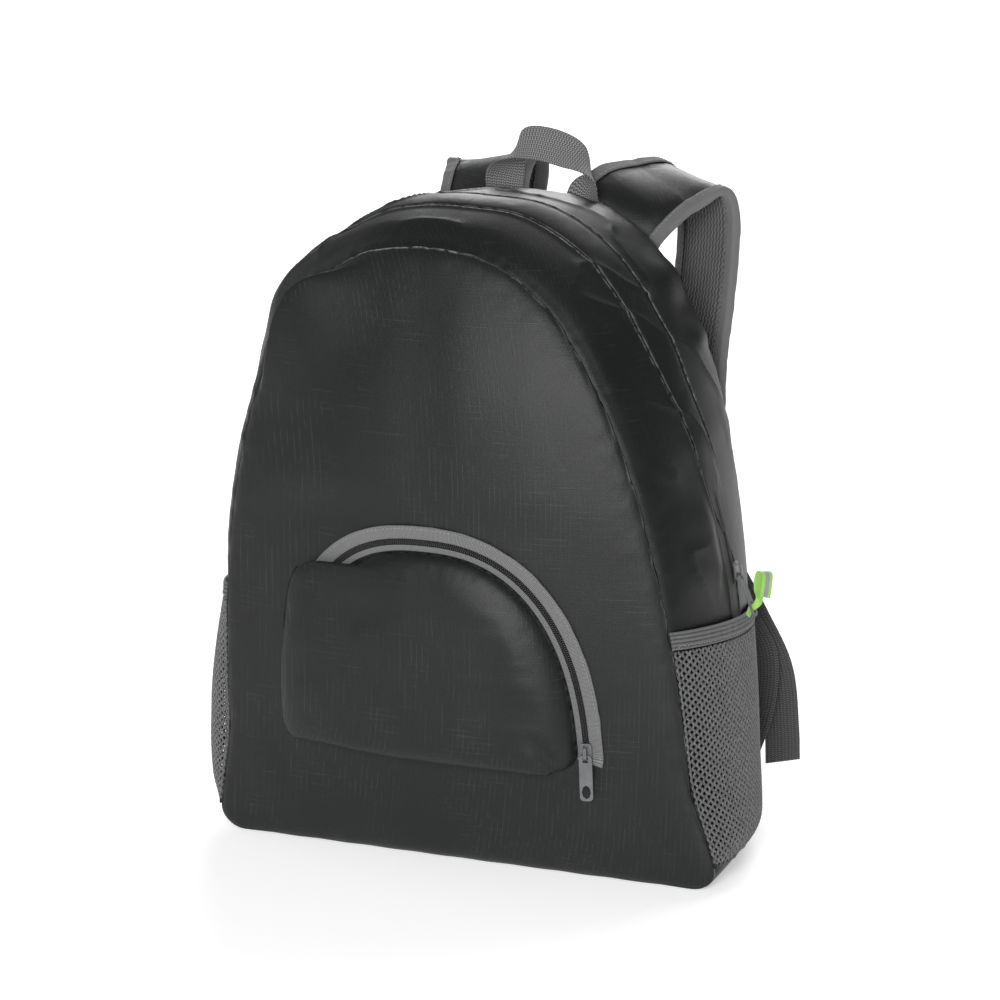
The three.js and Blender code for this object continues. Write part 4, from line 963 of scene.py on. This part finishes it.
# A side net: wavy yarns that touch their neighbours in turn, so that staggered six-sided holes open
# between them. The yarn at place p across has the offset amplitude*tanh(1.6 sin), mirrored in turn.
def netPoint(onSide, sizes, u, v, extra=0.0):
    bulge, bindingBulge = sizes
    low = shareAtHeight(net["lowHeight"])
    high = lerp(shareAtHeight(net["frontHeight"]), shareAtHeight(net["backHeight"]), v)
    inset = -asDepth(low, 1.6)
    place = lerp(inset, 1 - inset, v)
    t = lerp(low, high - net["binding"] / frontLine.length, u**1.3)
    rim = lerp(1, bindingBulge / bulge, u**3)
    swell = bulge * rim * swellAcross(place) ** 0.7 * np.sin(np.minimum(u * 2.6, math.pi / 2))
    return gussetPoint(onSide(t), place, net["clearance"] + swell + extra)


def addNet(name, onSide, sizes):
    pitch, period, amplitude, radius = 2.65, 5.2, 0.68, 0.86
    height = net["frontHeight"] - net["lowHeight"]
    places = np.linspace(0, 1, 600)
    section = netPoint(onSide, sizes, np.full(600, 0.5), places)
    along = np.concatenate([[0], np.cumsum(np.linalg.norm(np.diff(section, axis=0), axis=1))])
    count = round(along[-1] / pitch)
    steps = 230
    middle = (np.arange(count)[:, None] + 0.5) / count * along[-1]
    hand = np.where(np.arange(count) % 2 == 0, 1.0, -1.0)[:, None]
    u = np.linspace(0.004, 0.996, steps)[None]
    travel = u**1.3 * height
    wave = np.tanh(1.6 * np.sin(2 * math.pi * travel / period))
    drift = 0.5 * noise(travel / 30, middle / 22, 91)
    across = np.interp(middle + hand * amplitude * wave + drift, along, places)
    lift = 0.95 + 0.25 * np.cos(2 * math.pi * travel / period) * hand
    paths = netPoint(onSide, sizes, u, across, lift)
    out = unit(netPoint(onSide, sizes, u, across, 2.0) - netPoint(onSide, sizes, u, across, 0.0))
    addStrands(name + "_yarns", paths, out, radius, yarn, 6, wide=1.15, tall=0.8, stands=[name])

    # A hem of gathered cloth along the net's foot.
    hem = np.linspace(0.0, 1.0, 240)
    foot = netPoint(onSide, sizes, np.full(240, 0.004), hem, 0.7) + 1.1 * noise(hem * 26, 5.5, 93)[:, None] * [0, 0, 1]
    out = unit(netPoint(onSide, sizes, np.full(240, 0.004), hem, 2.0) - netPoint(onSide, sizes, np.full(240, 0.004), hem))
    thick = 1.3 + 0.5 * noise(hem * 34, 2.5, 94)
    addStrands(f"{name}_foot_hem", foot[None], out[None], thick, nylon, 8, wide=1.5, tall=0.8)


# The elastic band round a net's mouth: four rows of covered rubber, drawn in by its stitches.
def bindingPoint(onSide, sizes, part, v, extra=0.0):
    low = shareAtHeight(net["lowHeight"])
    inset = -asDepth(low, 1.6)
    place = lerp(inset, 1 - inset, v)
    top = lerp(shareAtHeight(net["frontHeight"]), shareAtHeight(net["backHeight"]), place)
    t = top + (part - 1) * (net["binding"] - shell["seamGap"]) / frontLine.length
    return gussetPoint(onSide(t), place, net["clearance"] + sizes[1] * swellAcross(place) ** 0.7 + extra)


def addBinding(name, onSide, sizes):
    v = np.linspace(0, 1, 241)[:, None]
    part = np.linspace(0, 1, 49)
    travel = v * 2 * halfDepth(150.0)
    rows = 0.42 * np.abs(np.sin(part * math.pi * 4.5)) ** 0.7
    gather = 0.3 * noise(travel / 3.1, part * 1.5, 95)
    rounded = net["bindingWall"] * np.maximum(1 - (2 * part - 1) ** 8, 0) ** 0.5
    outer = bindingPoint(onSide, sizes, part, v, rounded * 0.85 + rows + gather * np.sin(part * math.pi))
    inner = bindingPoint(onSide, sizes, part, v)
    cloth = np.stack(np.broadcast_arrays(part * net["binding"], travel, 0 * outer[..., 0]), -1)
    addWall(name + "_elastic", outer, inner, elasticTape, [name], marks={"cloth": cloth})

    # Two rows of stitches: a zigzag low on the band and a straight one near its upper edge.
    length = 2 * float(halfDepth(150.0)) - 4

    def zigzag(s):
        turn = np.floor(s[:, :1] / 2.2)
        ramp = (s - s[:, :1]) / 1.5
        low = 0.16 + 0.1 * np.where(turn % 2 == 0, ramp, 1 - ramp)
        v = (s + 2) / (length + 4)
        at = bindingPoint(onSide, sizes, low, v, net["bindingWall"] + 0.15)
        return at, unit(bindingPoint(onSide, sizes, low, v, 4.0) - at)

    addStitches(name + "_stitches", zigzag, length, thread, 2.2, 0.68, 0.2, 0.25)


sides = {"right_net": (lambda t: t, net["right"]), "left_net": (lambda t: 1 - t, net["left"])}
for name, (onSide, sizes) in sides.items():
    addNet(name, onSide, sizes)
    addBinding(name + "_binding", onSide, sizes)
print("nets made")


# A Catmull-Rom curve through points, as frames of centre, width and face. Places are spaced by the square
# root of their distances; width directions evenly.
def hermite(points, u, centripetal):
    points = np.asarray(points, float)
    points = np.concatenate([[2 * points[0] - points[1]], points, [2 * points[-1] - points[-2]]])
    place = u * (len(points) - 3)
    i = np.minimum(place.astype(int), len(points) - 4)
    w = (place - i)[:, None]
    a, b, c, d = (points[i + k] for k in range(4))
    if centripetal:
        gaps = [np.maximum(np.linalg.norm(q - p, axis=1), 1e-8)[:, None] ** 0.5 for p, q in ((a, b), (b, c), (c, d))]
        g0, g1, g2 = gaps
        start = ((b - a) / g0 - (c - a) / (g0 + g1) + (c - b) / g1) * g1
        end = ((c - b) / g1 - (d - b) / (g1 + g2) + (d - c) / g2) * g1
    else:
        start, end = 0.5 * (c - a), 0.5 * (d - b)
    return (
        b
        + start * w
        + (-3 * b + 3 * c - 2 * start - end) * w**2
        + (2 * b - 2 * c + start + end) * w**3
    )


def frames(places, widths, steps):
    u = np.linspace(0, 1, steps + 1)
    before, after = np.clip(u - 1e-4, 0, 1), np.clip(u + 1e-4, 0, 1)
    along = unit(hermite(places, after, True) - hermite(places, before, True))
    raw = hermite(widths, u, False)
    side = unit(raw - along * (raw * along).sum(-1, keepdims=True))
    centre = hermite(places, u, True)
    travel = np.concatenate([[0], np.cumsum(np.linalg.norm(np.diff(centre, axis=0), axis=1))])
    return {"u": u, "centre": centre, "side": side, "face": np.cross(along, side), "travel": travel}


# Points at across and through, both steps x columns, on a run of frames.
def onFrames(run, across, through):
    across, through = np.broadcast_arrays(across, through)
    return (
        run["centre"][:, None]
        + run["side"][:, None] * across[..., None]
        + run["face"][:, None] * through[..., None]
    )


# A woven band along a run of frames, between two heights above its middle line.
def addBand(name, run, across, low, high, look, stands=(), body="bag", marks=None):
    outer, inner = onFrames(run, across, high), onFrames(run, across, low)
    cloth = np.stack(np.broadcast_arrays(across, run["travel"][:, None], 0 * outer[..., 0]), -1)
    return addWall(name, outer, inner, look, stands, body, {"cloth": cloth, **(marks or {})})


handle = {"web": 25, "wall": 1.6, "footSpacing": 56, "footDrop": 19, "rise": 35, "lean": 6}
carryCentre = 7
backSeamTop = float(gussetPoint(0.5, 1.0)[2])


def backFace(z):
    low = z - shell["shoulderRise"] * smooth(z / shell["height"], 0.5, 1)
    middle = shell["centre"] * shell["height"]
    r = np.clip(abs(low - middle) / (shell["height"] - middle), 0, 1)
    return float(halfDepth(low) + shell["seamGap"] + shell["cloth"] + shell["backPuff"] * (1 - r**2.4))


def grabHandle():
    clear = 3 * shell["seamGap"] + handle["wall"] / 2
    rows = [
        (-0.5, -1, 0, (1, 0, 0)),
        (-0.5, 0, 0, (1, 0, 0)),
        (-0.47, 0.35, 0.17, (0.85, 0.4, 0.3)),
        (-0.26, 0.9, 0.83, (0.1, 0.7, 0.75)),
        (0.06, 0.94, 1, (-0.1, 0.65, 0.75)),
        (0.44, 0.72, 0.83, (-0.3, 0.7, 0.65)),
        (0.6, 0.34, 0.33, (-0.5, 0.85, 0.1)),
        (0.5, -0.1, 0, (-1, 0, 0)),
        (0.5, -1, 0, (-1, 0, 0)),
    ]
    places = []
    for x, up, over, _ in rows:
        z = backSeamTop + up * (handle["footDrop"] if up < 0 else handle["rise"])
        places.append((carryCentre + x * handle["footSpacing"], backFace(z) + clear - over * handle["lean"], z))
    run = frames(places, [row[3] for row in rows], 320)
    across = np.linspace(-handle["web"] / 2, handle["web"] / 2, 33)[None]
    edge = handle["wall"] / 2 * (1 - 0.5 * np.abs(across / across.max()) ** 10)
    bars = 0.09 * np.sin(run["travel"][:, None] * 2 * math.pi / 1.75)
    print("handle webbing", round(run["travel"][-1]), "mm long")
    addBand("haul_webbing", run, across, -edge - bars, edge + bars, handleWeb, ["haul_handle"])


grabHandle()

strap = {
    "width": 66, "rootX": 50, "rootDrop": 13, "archRise": 21, "archBack": 60, "endHeight": 212, "spread": 54,
    "face": 1.5, "mesh": 2.2, "layerGap": 0.5, "bindingWidth": 8, "bindingWall": 0.8, "endShare": 0.5,
    "rightSeat": 0.6, "leftSeat": 1.25,
}
# Rows of out, back, up, turn and tilt, in the shares that the part's own straps use.
strapRows = {
    "right": [
        (-0.148, 0, -0.07, 0, -0.6), (-0.037, 0.02, 0, 0, -0.6), (0.111, 0.2, 0.45, -6, -0.5),
        (0.315, 0.52, 0.72, -16, -0.28), (0.593, 0.86, 0.8, -28, -0.15), (0.704, 1, 0.1, -36, 0),
        (0.685, 0.98, -0.31, -38, 0), (0.611, 0.82, -0.54, -32, 0), (0.741, 0.62, -0.77, -20, 0),
        (1, 0.46, -1, -10, 0),
    ],
    "left": [
        (-0.148, 0, -0.07, 0, -0.5), (-0.074, 0.02, 0, 0, -0.5), (-0.019, 0.2, 0.6, 0, -0.38),
        (0.037, 0.5, 1, 0, -0.28), (0.093, 0.8, 0.95, -2, -0.2), (0.167, 0.97, 0.4, -4, -0.1),
        (0.241, 1, -0.03, -6, 0), (0.333, 0.96, -0.31, -8, 0), (0.481, 0.82, -0.54, -10, 0),
        (0.704, 0.62, -0.77, -10, 0), (1, 0.46, -1, -8, 0),
    ],
}


def strapRun(hand, rows, seat, steps):
    rootHeight = backSeamTop - strap["rootDrop"]
    drop = rootHeight - strap["endHeight"]
    layers = strap["bindingWall"] + (strap["face"] + strap["layerGap"] + strap["mesh"]) / 2 + shell["seamGap"]
    rootY = backFace(rootHeight - strap["width"] / 4) + layers + seat
    places, widths = [], []
    for out, back, up, turn, tilt in rows:
        x = carryCentre + hand * (strap["rootX"] + out * strap["spread"])
        z = rootHeight + up * (drop if up < 0 else strap["archRise"])
        places.append((x, rootY + back * strap["archBack"], z))
        turned = math.radians(turn)
        widths.append((math.cos(turned), hand * math.sin(turned), hand * tilt))
    return frames(places, widths, steps)


def shoulderStrap(side, hand, seat):
    run = strapRun(hand, strapRows[side], seat, 260)
    u = run["u"][:, None]
    travel = run["travel"][:, None]
    half = strap["width"] / 2 * lerp(1, strap["endShare"], smooth(u, 0.74, 1))
    total = strap["face"] + strap["layerGap"] + strap["mesh"]
    part = np.linspace(-1, 1, 65)[None]
    across = half * part
    fromEdge = half * (1 - np.abs(part))
    pull = puckers(travel + 200 * (part > 0), fromEdge, 101, 0.5, 7, 9) * smooth(fromEdge, 7, 10)
    swell = 0.5 * smooth(fromEdge, 7.5, 18) + 0.4 * noise(travel / 34, across / 26, 102) * smooth(fromEdge, 8, 16)
    faceOut = -total / 2 - np.maximum(swell + pull, -0.3)
    marks = {"edge": fromEdge + 0.5, "paintedHighlight": 0 * fromEdge}
    addBand(
        f"{side}_strap_cloth", run, across, faceOut, np.broadcast_to(-total / 2 + strap["face"], faceOut.shape),
        strapNylon, [f"{side}_strap_face"], marks=marks,
    )
    netOut = total / 2 + 0.5 * smooth(fromEdge, 7.5, 16) + 0.15 * noise(travel / 20, across / 20, 103)
    addBand(
        f"{side}_strap_spacer", run, across, np.broadcast_to(total / 2 - strap["mesh"], netOut.shape), netOut,
        spacer, [f"{side}_strap_mesh"],
    )
    near = total / 2 + strap["layerGap"]
    far = near + strap["bindingWall"]
    for edgeName, way in (("left_binding", -1), ("right_binding", 1)):
        # A folded tape: over one face, round the rim and back under, as a C of outer and inner points.
        rim = half + shell["seamGap"]
        inside = rim - strap["bindingWidth"]
        ease = np.linspace(0, 1, 9)
        bend = np.linspace(0, math.pi, 13)[None]
        flatIn = inside + (rim - 1.0 - inside) * ease[None]
        outerAcross = np.concatenate([flatIn, rim - 1.0 + (1.0 + strap["bindingWall"]) * np.sin(bend), flatIn[:, ::-1]], 1)
        ones = np.ones_like(flatIn)
        outerThrough = np.concatenate([far * ones, np.broadcast_to(far * np.cos(bend), (len(u), 13)), -far * ones], 1)
        innerAcross = np.concatenate([flatIn, rim - 1.0 + 1.0 * np.sin(bend), flatIn[:, ::-1]], 1)
        innerThrough = np.concatenate([near * ones, np.broadcast_to(near * np.cos(bend), (len(u), 13)), -near * ones], 1)
        gather = 0.28 * noise(travel / 5, outerThrough / 3 + 4 * way, 104)
        outerThrough = outerThrough + gather * np.sign(outerThrough)
        outer = onFrames(run, way * outerAcross, outerThrough)
        inner = onFrames(run, way * innerAcross, innerThrough)
        wideWay = np.concatenate([flatIn - rim, 2 * bend + 0 * u, rim - flatIn[:, ::-1] + 2 * math.pi], 1)
        cloth = np.stack(np.broadcast_arrays(wideWay, travel, 0 * wideWay), -1)
        addWall(
            f"{side}_strap_{edgeName}_tape", outer, inner, bindingTape, [f"{side}_strap_{edgeName}"],
            marks={"cloth": cloth},
        )
        for facing in (-1, 1):
            edgeStitches(f"{side}_strap_{edgeName}_stitches_{'outer' if facing < 0 else 'inner'}", run, half, way, facing * far)
    return run


# Stitches along a strap's binding, near its inner border.
def edgeStitches(name, run, half, way, through):
    length = float(run["travel"][-1]) - 3

    def line(s):
        shape = s.shape
        flat = s.ravel() + 1.5
        pick = lambda values: np.stack([np.interp(flat, run["travel"], values[:, k]) for k in range(3)], -1)
        width = np.interp(flat, run["travel"], half[:, 0]) + shell["seamGap"] - strap["bindingWidth"] + 1.6
        side, face = pick(run["side"]), pick(run["face"])
        at = pick(run["centre"]) + side * (way * width)[:, None] + face * (through + 0.1 * np.sign(through))
        return at.reshape(*shape, 3), (face * np.sign(through)).reshape(*shape, 3)

    addStitches(name, line, length, thread if through < 0 else darkThread, 3.4, 0.66, 0.24, 0.35)


straps = {
    "right": shoulderStrap("right", 1, strap["rightSeat"]),
    "left": shoulderStrap("left", -1, strap["leftSeat"]),
}
print("straps made", [round(run["travel"][-1]) for run in straps.values()], "mm long")

slider = {
    "width": 8, "length": 12, "plate": 1.3, "bridgeLength": 9, "bridgeWall": 1.2, "bar": 1.3, "clearance": 0.4,
    "pullerLength": 30, "ringLength": 9, "rim": 1.4, "lift": 14,
}
barHeight = slider["plate"] + slider["clearance"] + slider["bar"] / 2
barPlace = slider["bridgeLength"] / 2 - slider["bridgeWall"] - slider["clearance"] - slider["bar"] / 2
ringMiddle = slider["pullerLength"] - slider["bar"] / 2 - slider["ringLength"] / 2 - slider["rim"]


# A hard piece of the part with its edges broken: its flat faces joined up, then a small bevel.
def finishHard(name, node, look, body="bag", bevel=0.22):
    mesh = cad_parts[node].data.copy()
    mesh.name = name
    shape = bmesh.new()
    shape.from_mesh(mesh)
    bmesh.ops.remove_doubles(shape, verts=shape.verts, dist=1e-6)
    bmesh.ops.dissolve_limit(shape, angle_limit=math.radians(1), verts=shape.verts, edges=shape.edges)
    sharp = [e for e in shape.edges if len(e.link_faces) == 2 and e.calc_face_angle(0) > math.radians(40)]
    bmesh.ops.bevel(
        shape, geom=sharp, offset=bevel * mm, segments=2, profile=0.5, affect="EDGES", clamp_overlap=True
    )
    bmesh.ops.recalc_face_normals(shape, faces=shape.faces)
    shape.to_mesh(mesh)
    shape.free()
    mesh.polygons.foreach_set("use_smooth", np.ones(len(mesh.polygons), bool))
    mesh.materials.clear()
    mesh.materials.append(look)
    piece = bpy.data.objects.new(name, mesh)
    bpy.context.scene.collection.objects.link(piece)
    weighted = piece.modifiers.new("even_normals", "WEIGHTED_NORMAL")
    weighted.weight = 80
    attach(piece, body)
    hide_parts(node)
    return piece


finishHard("pocket_slider_body", "pocket_slider", lacquer)
finishHard("main_slider_body", "main_slider", lacquer)
finishHard("pocket_pull_tab", "pocket_puller", lacquer, "pocket_pull", 0.28)
finishHard("main_pull_tab", "main_puller", lacquer, "main_pull", 0.28)
for side in ("right", "left"):
    finishHard(side + "_ladder_lock", side + "_strap_lock", mould, bevel=0.5)
print("hard pieces made")


# The ribbon, in the frame of the puller that it hangs on: that frame stands on the main slider's seat,
# out along the zipper's own way, and leans by the puller's lift.
def ribbonFrame():
    step = 0.004
    t = zipEnd + slider["length"] / 2 / frontLine.length + step
    middle = zipPlace(t) + asDepth(t, zipBand["band"] / 2)
    lift = 2 * shell["seamGap"] + zipBand["coilHeight"]
    seat = gussetPoint(t, middle, lift)
    along = unit(gussetPoint(t - step, middle, lift) - gussetPoint(t + step, middle, lift))
    out = unit(np.cross(gussetPoint(t, middle + step, lift) - seat, along))
    out = -out if out[0] < 0 else out
    y = unit(along - out * (along @ out))
    x = np.cross(y, out)
    lean = math.radians(slider["lift"])
    origin = seat + y * barPlace + out * barHeight
    yLeant, zLeant = y * math.cos(lean) + out * math.sin(lean), out * math.cos(lean) - y * math.sin(lean)
    return origin, np.stack([x, yLeant, zLeant])


def pullRibbon():
    ribbon = {"width": 8, "throat": 4, "wall": 0.8, "reach": 19}
    through, outside = (0, -1, 0), (0.75, -0.35, -0.55)
    rows = [
        (0.2, 0.2, -0.2, (0.3, -1, 0)), (-0.04, 0.03, -0.08, through), (-0.1, 0, 0.08, through),
        (-0.16, -0.12, 0.24, (0.4, -0.9, 0)), (-0.34, -0.44, 0.32, outside), (-0.44, -0.78, 0.44, outside),
        (-0.48, -0.96, 0.6, outside), (-0.42, -0.86, 0.76, outside), (-0.3, -0.5, 0.64, outside),
        (-0.16, -0.16, 0.48, outside),
    ]
    origin, axes = ribbonFrame()
    reach = ribbon["reach"]
    local = np.array([(x * reach, ringMiddle + y * reach, z * reach) for x, y, z, _ in rows])
    widths = np.array([row[3] for row in rows], float)
    run = frames(origin + local @ axes, widths @ axes, 200)
    print("ribbon", round(run["travel"][-1]), "mm long")
    half = lerp(ribbon["throat"], ribbon["width"], smooth(run["u"], 0.2, 0.45))[:, None] / 2
    across = half * np.linspace(-1, 1, 25)[None]
    thick = ribbon["wall"] / 2 * (1 - 0.5 * np.abs(np.linspace(-1, 1, 25)[None]) ** 8) + 0 * across
    addBand("green_ribbon", run, across, -thick, thick, ribbonGreen, ["pull_ribbon"], "main_pull")


pullRibbon()

web = {
    "width": 24, "loopWidth": 25, "wall": 1.2, "clearance": 0.5, "turn": 2, "tailEnd": 33, "tailSpread": 37,
    "tailBack": 17, "anchorX": 130, "anchorHeight": 24, "anchorPuff": 0.1, "bow": 22, "bowBack": 11, "lead": 6,
}
lock = {"wall": 3, "height": 27, "topBar": 4, "loopSlot": 5, "midBar": 3, "webSlot": 6, "loopReach": 14}


# The loop that carries a lock, and the adjusting webbing with its free tail, cut on a slant.
def lockWebbing(side, hand, run):
    centre, across, face = run["centre"][-1], run["side"][-1], run["face"][-1]
    down = unit(np.cross(across, face))
    down = -down if down[2] > 0 else down
    back = unit(np.cross(down, across))
    back = -back if back[1] < 0 else back
    top = centre + down * lock["loopReach"]
    at = lambda y, fall: top + back * y + down * fall
    off = lock["wall"] / 2 + web["clearance"] + web["wall"] / 2
    half = np.arange(5) / 4 * math.pi

    under = lock["topBar"] + web["clearance"] + web["wall"] / 2
    loopEnd = shell["seamGap"] - lock["loopReach"]
    turned = [at(-off * math.cos(a), under + web["turn"] * math.sin(a)) for a in half]
    places = [at(-off, loopEnd), at(-off, 0), *turned, at(off, 0), at(off, loopEnd)]
    webBand(f"{side}_lock_webbing", frames(places, [across] * len(places), 160), web["loopWidth"], f"{side}_strap_lock_loop")

    over = lock["topBar"] + lock["loopSlot"] + lock["midBar"] + lock["webSlot"] - web["clearance"] - web["wall"] / 2
    foot = at(0, lock["height"] + web["lead"])
    anchorY = backFace(0) + shell["backPuff"] * web["anchorPuff"] + shell["seamGap"] + web["wall"] / 2
    anchor = np.array([hand * web["anchorX"], anchorY, web["anchorHeight"]])
    fall = foot[2] - anchor[2]

    def bow(share, out, behind):
        point = lerp(anchor, foot, share) + [hand * out * web["bow"], behind * web["bowBack"], 0]
        point[2] = anchor[2] + share * fall
        return point

    def tail(share, out, behind):
        spread = [hand * out * web["tailSpread"], behind * web["tailBack"], 0]
        return np.array([foot[0], foot[1], lerp(foot[2], web["tailEnd"], share)]) + spread

    low, approach = lock["height"], lerp(over, lock["height"], 0.4)
    level = np.array([1.0, 0, 0])
    rows = [
        (anchor, level),
        (bow(0.16, 0.55, 0.27), level),
        (bow(0.4, 1, 0.91), (1, -0.1 * hand, 0.1 * hand)),
        (bow(0.62, 1, 1), (1, -0.1 * hand, 0.3 * hand)),
        (bow(0.8, 0.42, 0.45), (1, -0.1 * hand, 0.3 * hand)),
        (at(-off, low * 1.1), across),
        (at(-off, low), across),
        (at(-off, approach), across),
        *[(at(-off * math.cos(a), over - web["turn"] * math.sin(a)), across) for a in half],
        (at(off, approach), across),
        (at(off, low), across),
        (tail(0.22, 0.42, 0.5), (1, 0, 0.3 * hand)),
        (tail(0.5, 0.84, 0.94), (1, 0, 0.25 * hand)),
        (tail(0.8, 0.97, 1), (1, 0, 0.2 * hand)),
        (tail(1, 1, 1), (1, 0, 0.25 * hand)),
    ]
    run = frames([row[0] for row in rows], [row[1] for row in rows], 640)
    print(side, "load webbing", round(run["travel"][-1]), "mm long")
    webBand(f"{side}_load_webbing", run, web["width"], f"{side}_strap_webbing", slant=5.0 * hand)


# A band of load webbing; slant moves its last stretch's points along, so that its end is cut askew.
def webBand(name, run, width, node, slant=0.0):
    across = np.linspace(-width / 2, width / 2, 29)[None]
    edge = web["wall"] / 2 * (1 - 0.45 * np.abs(across / across.max()) ** 10)
    bars = 0.09 * np.sin(run["travel"][:, None] * 2 * math.pi / 1.5)
    outer, inner = onFrames(run, across, edge + bars), onFrames(run, across, -edge - bars)
    if slant:
        fromEnd = run["travel"][-1] - run["travel"][:, None]
        shift = -abs(slant) * (0.5 + np.sign(slant) * across / width) * (1 - smooth(fromEnd, 0, 24))
        along = unit(run["centre"][-1] - run["centre"][-4])
        outer = outer + shift[..., None] * along
        inner = inner + shift[..., None] * along
    cloth = np.stack(np.broadcast_arrays(across, run["travel"][:, None], 0 * outer[..., 0]), -1)
    addWall(name, outer, inner, loadWeb, [node], marks={"cloth": cloth})


lockWebbing("right", 1, straps["right"])
lockWebbing("left", -1, straps["left"])
print("webbing made")

# The studio: a wide pale floor, a bright even surround, one large soft light high on the right and a
# weaker one behind.
def studio():
    look = Look("floor", Roughness=0.6, Specular_IOR_Level=0.1, Emission_Color=(1, 1, 1, 1), Emission_Strength=0.42)
    x, y, _ = look.place()
    look.colour(look.mix(look.noise(look.join(x, y, 0.0), 1.5, 2.0), (0.86, 0.86, 0.86), (0.88, 0.88, 0.88)))
    mesh = bpy.data.meshes.new("floor")
    mesh.from_pydata([(-30, -30, -0.0006), (30, -30, -0.0006), (30, 30, -0.0006), (-30, 30, -0.0006)], [], [(0, 1, 2, 3)])
    mesh.materials.append(look.material)
    floor = bpy.data.objects.new("floor", mesh)
    bpy.context.scene.collection.objects.link(floor)

    world = bpy.data.worlds.new("surround")
    world.use_nodes = True
    world.node_tree.nodes["Background"].inputs["Color"].default_value = (1, 1, 1, 1)
    world.node_tree.nodes["Background"].inputs["Strength"].default_value = 0.225
    bpy.context.scene.world = world
    for name, place, size, power in (
        ("key", (0.75, -3.05, 1.3), 1.2, 108),
        ("rim", (0.4, 2.2, 3.0), 1.6, 40),
        ("back", (-1.2, 4.2, 2.4), 2.0, 110),
        ("fill", (-2.6, 0.3, 1.6), 1.6, 8),
    ):
        lamp = bpy.data.lights.new(name, "AREA")
        lamp.size, lamp.energy = size, power
        light = bpy.data.objects.new(name, lamp)
        light.location = place
        light.rotation_euler = (Vector((0, 0, 0.2)) - Vector(place)).to_track_quat("-Z", "Y").to_euler()
        bpy.context.scene.collection.objects.link(light)


def pictureCamera():
    view = {"azimuth": 22, "elevation": 15, "distance": 3.0, "aim": (0, 0, 0.224), "lens": 166.86}
    turn, rise = math.radians(view["azimuth"]), math.radians(view["elevation"])
    back = Vector((math.sin(turn) * math.cos(rise), -math.cos(turn) * math.cos(rise), math.sin(rise)))
    data = bpy.data.cameras.new("picture")
    data.lens, data.sensor_width, data.clip_end = view["lens"], 36, 100
    camera = bpy.data.objects.new("picture", data)
    camera.location = Vector(view["aim"]) + back * view["distance"]
    camera.rotation_euler = (-back).to_track_quat("-Z", "Y").to_euler()
    bpy.context.scene.collection.objects.link(camera)
    bpy.context.scene.camera = camera


studio()
pictureCamera()
bpy.context.scene.view_settings.view_transform = "Standard"
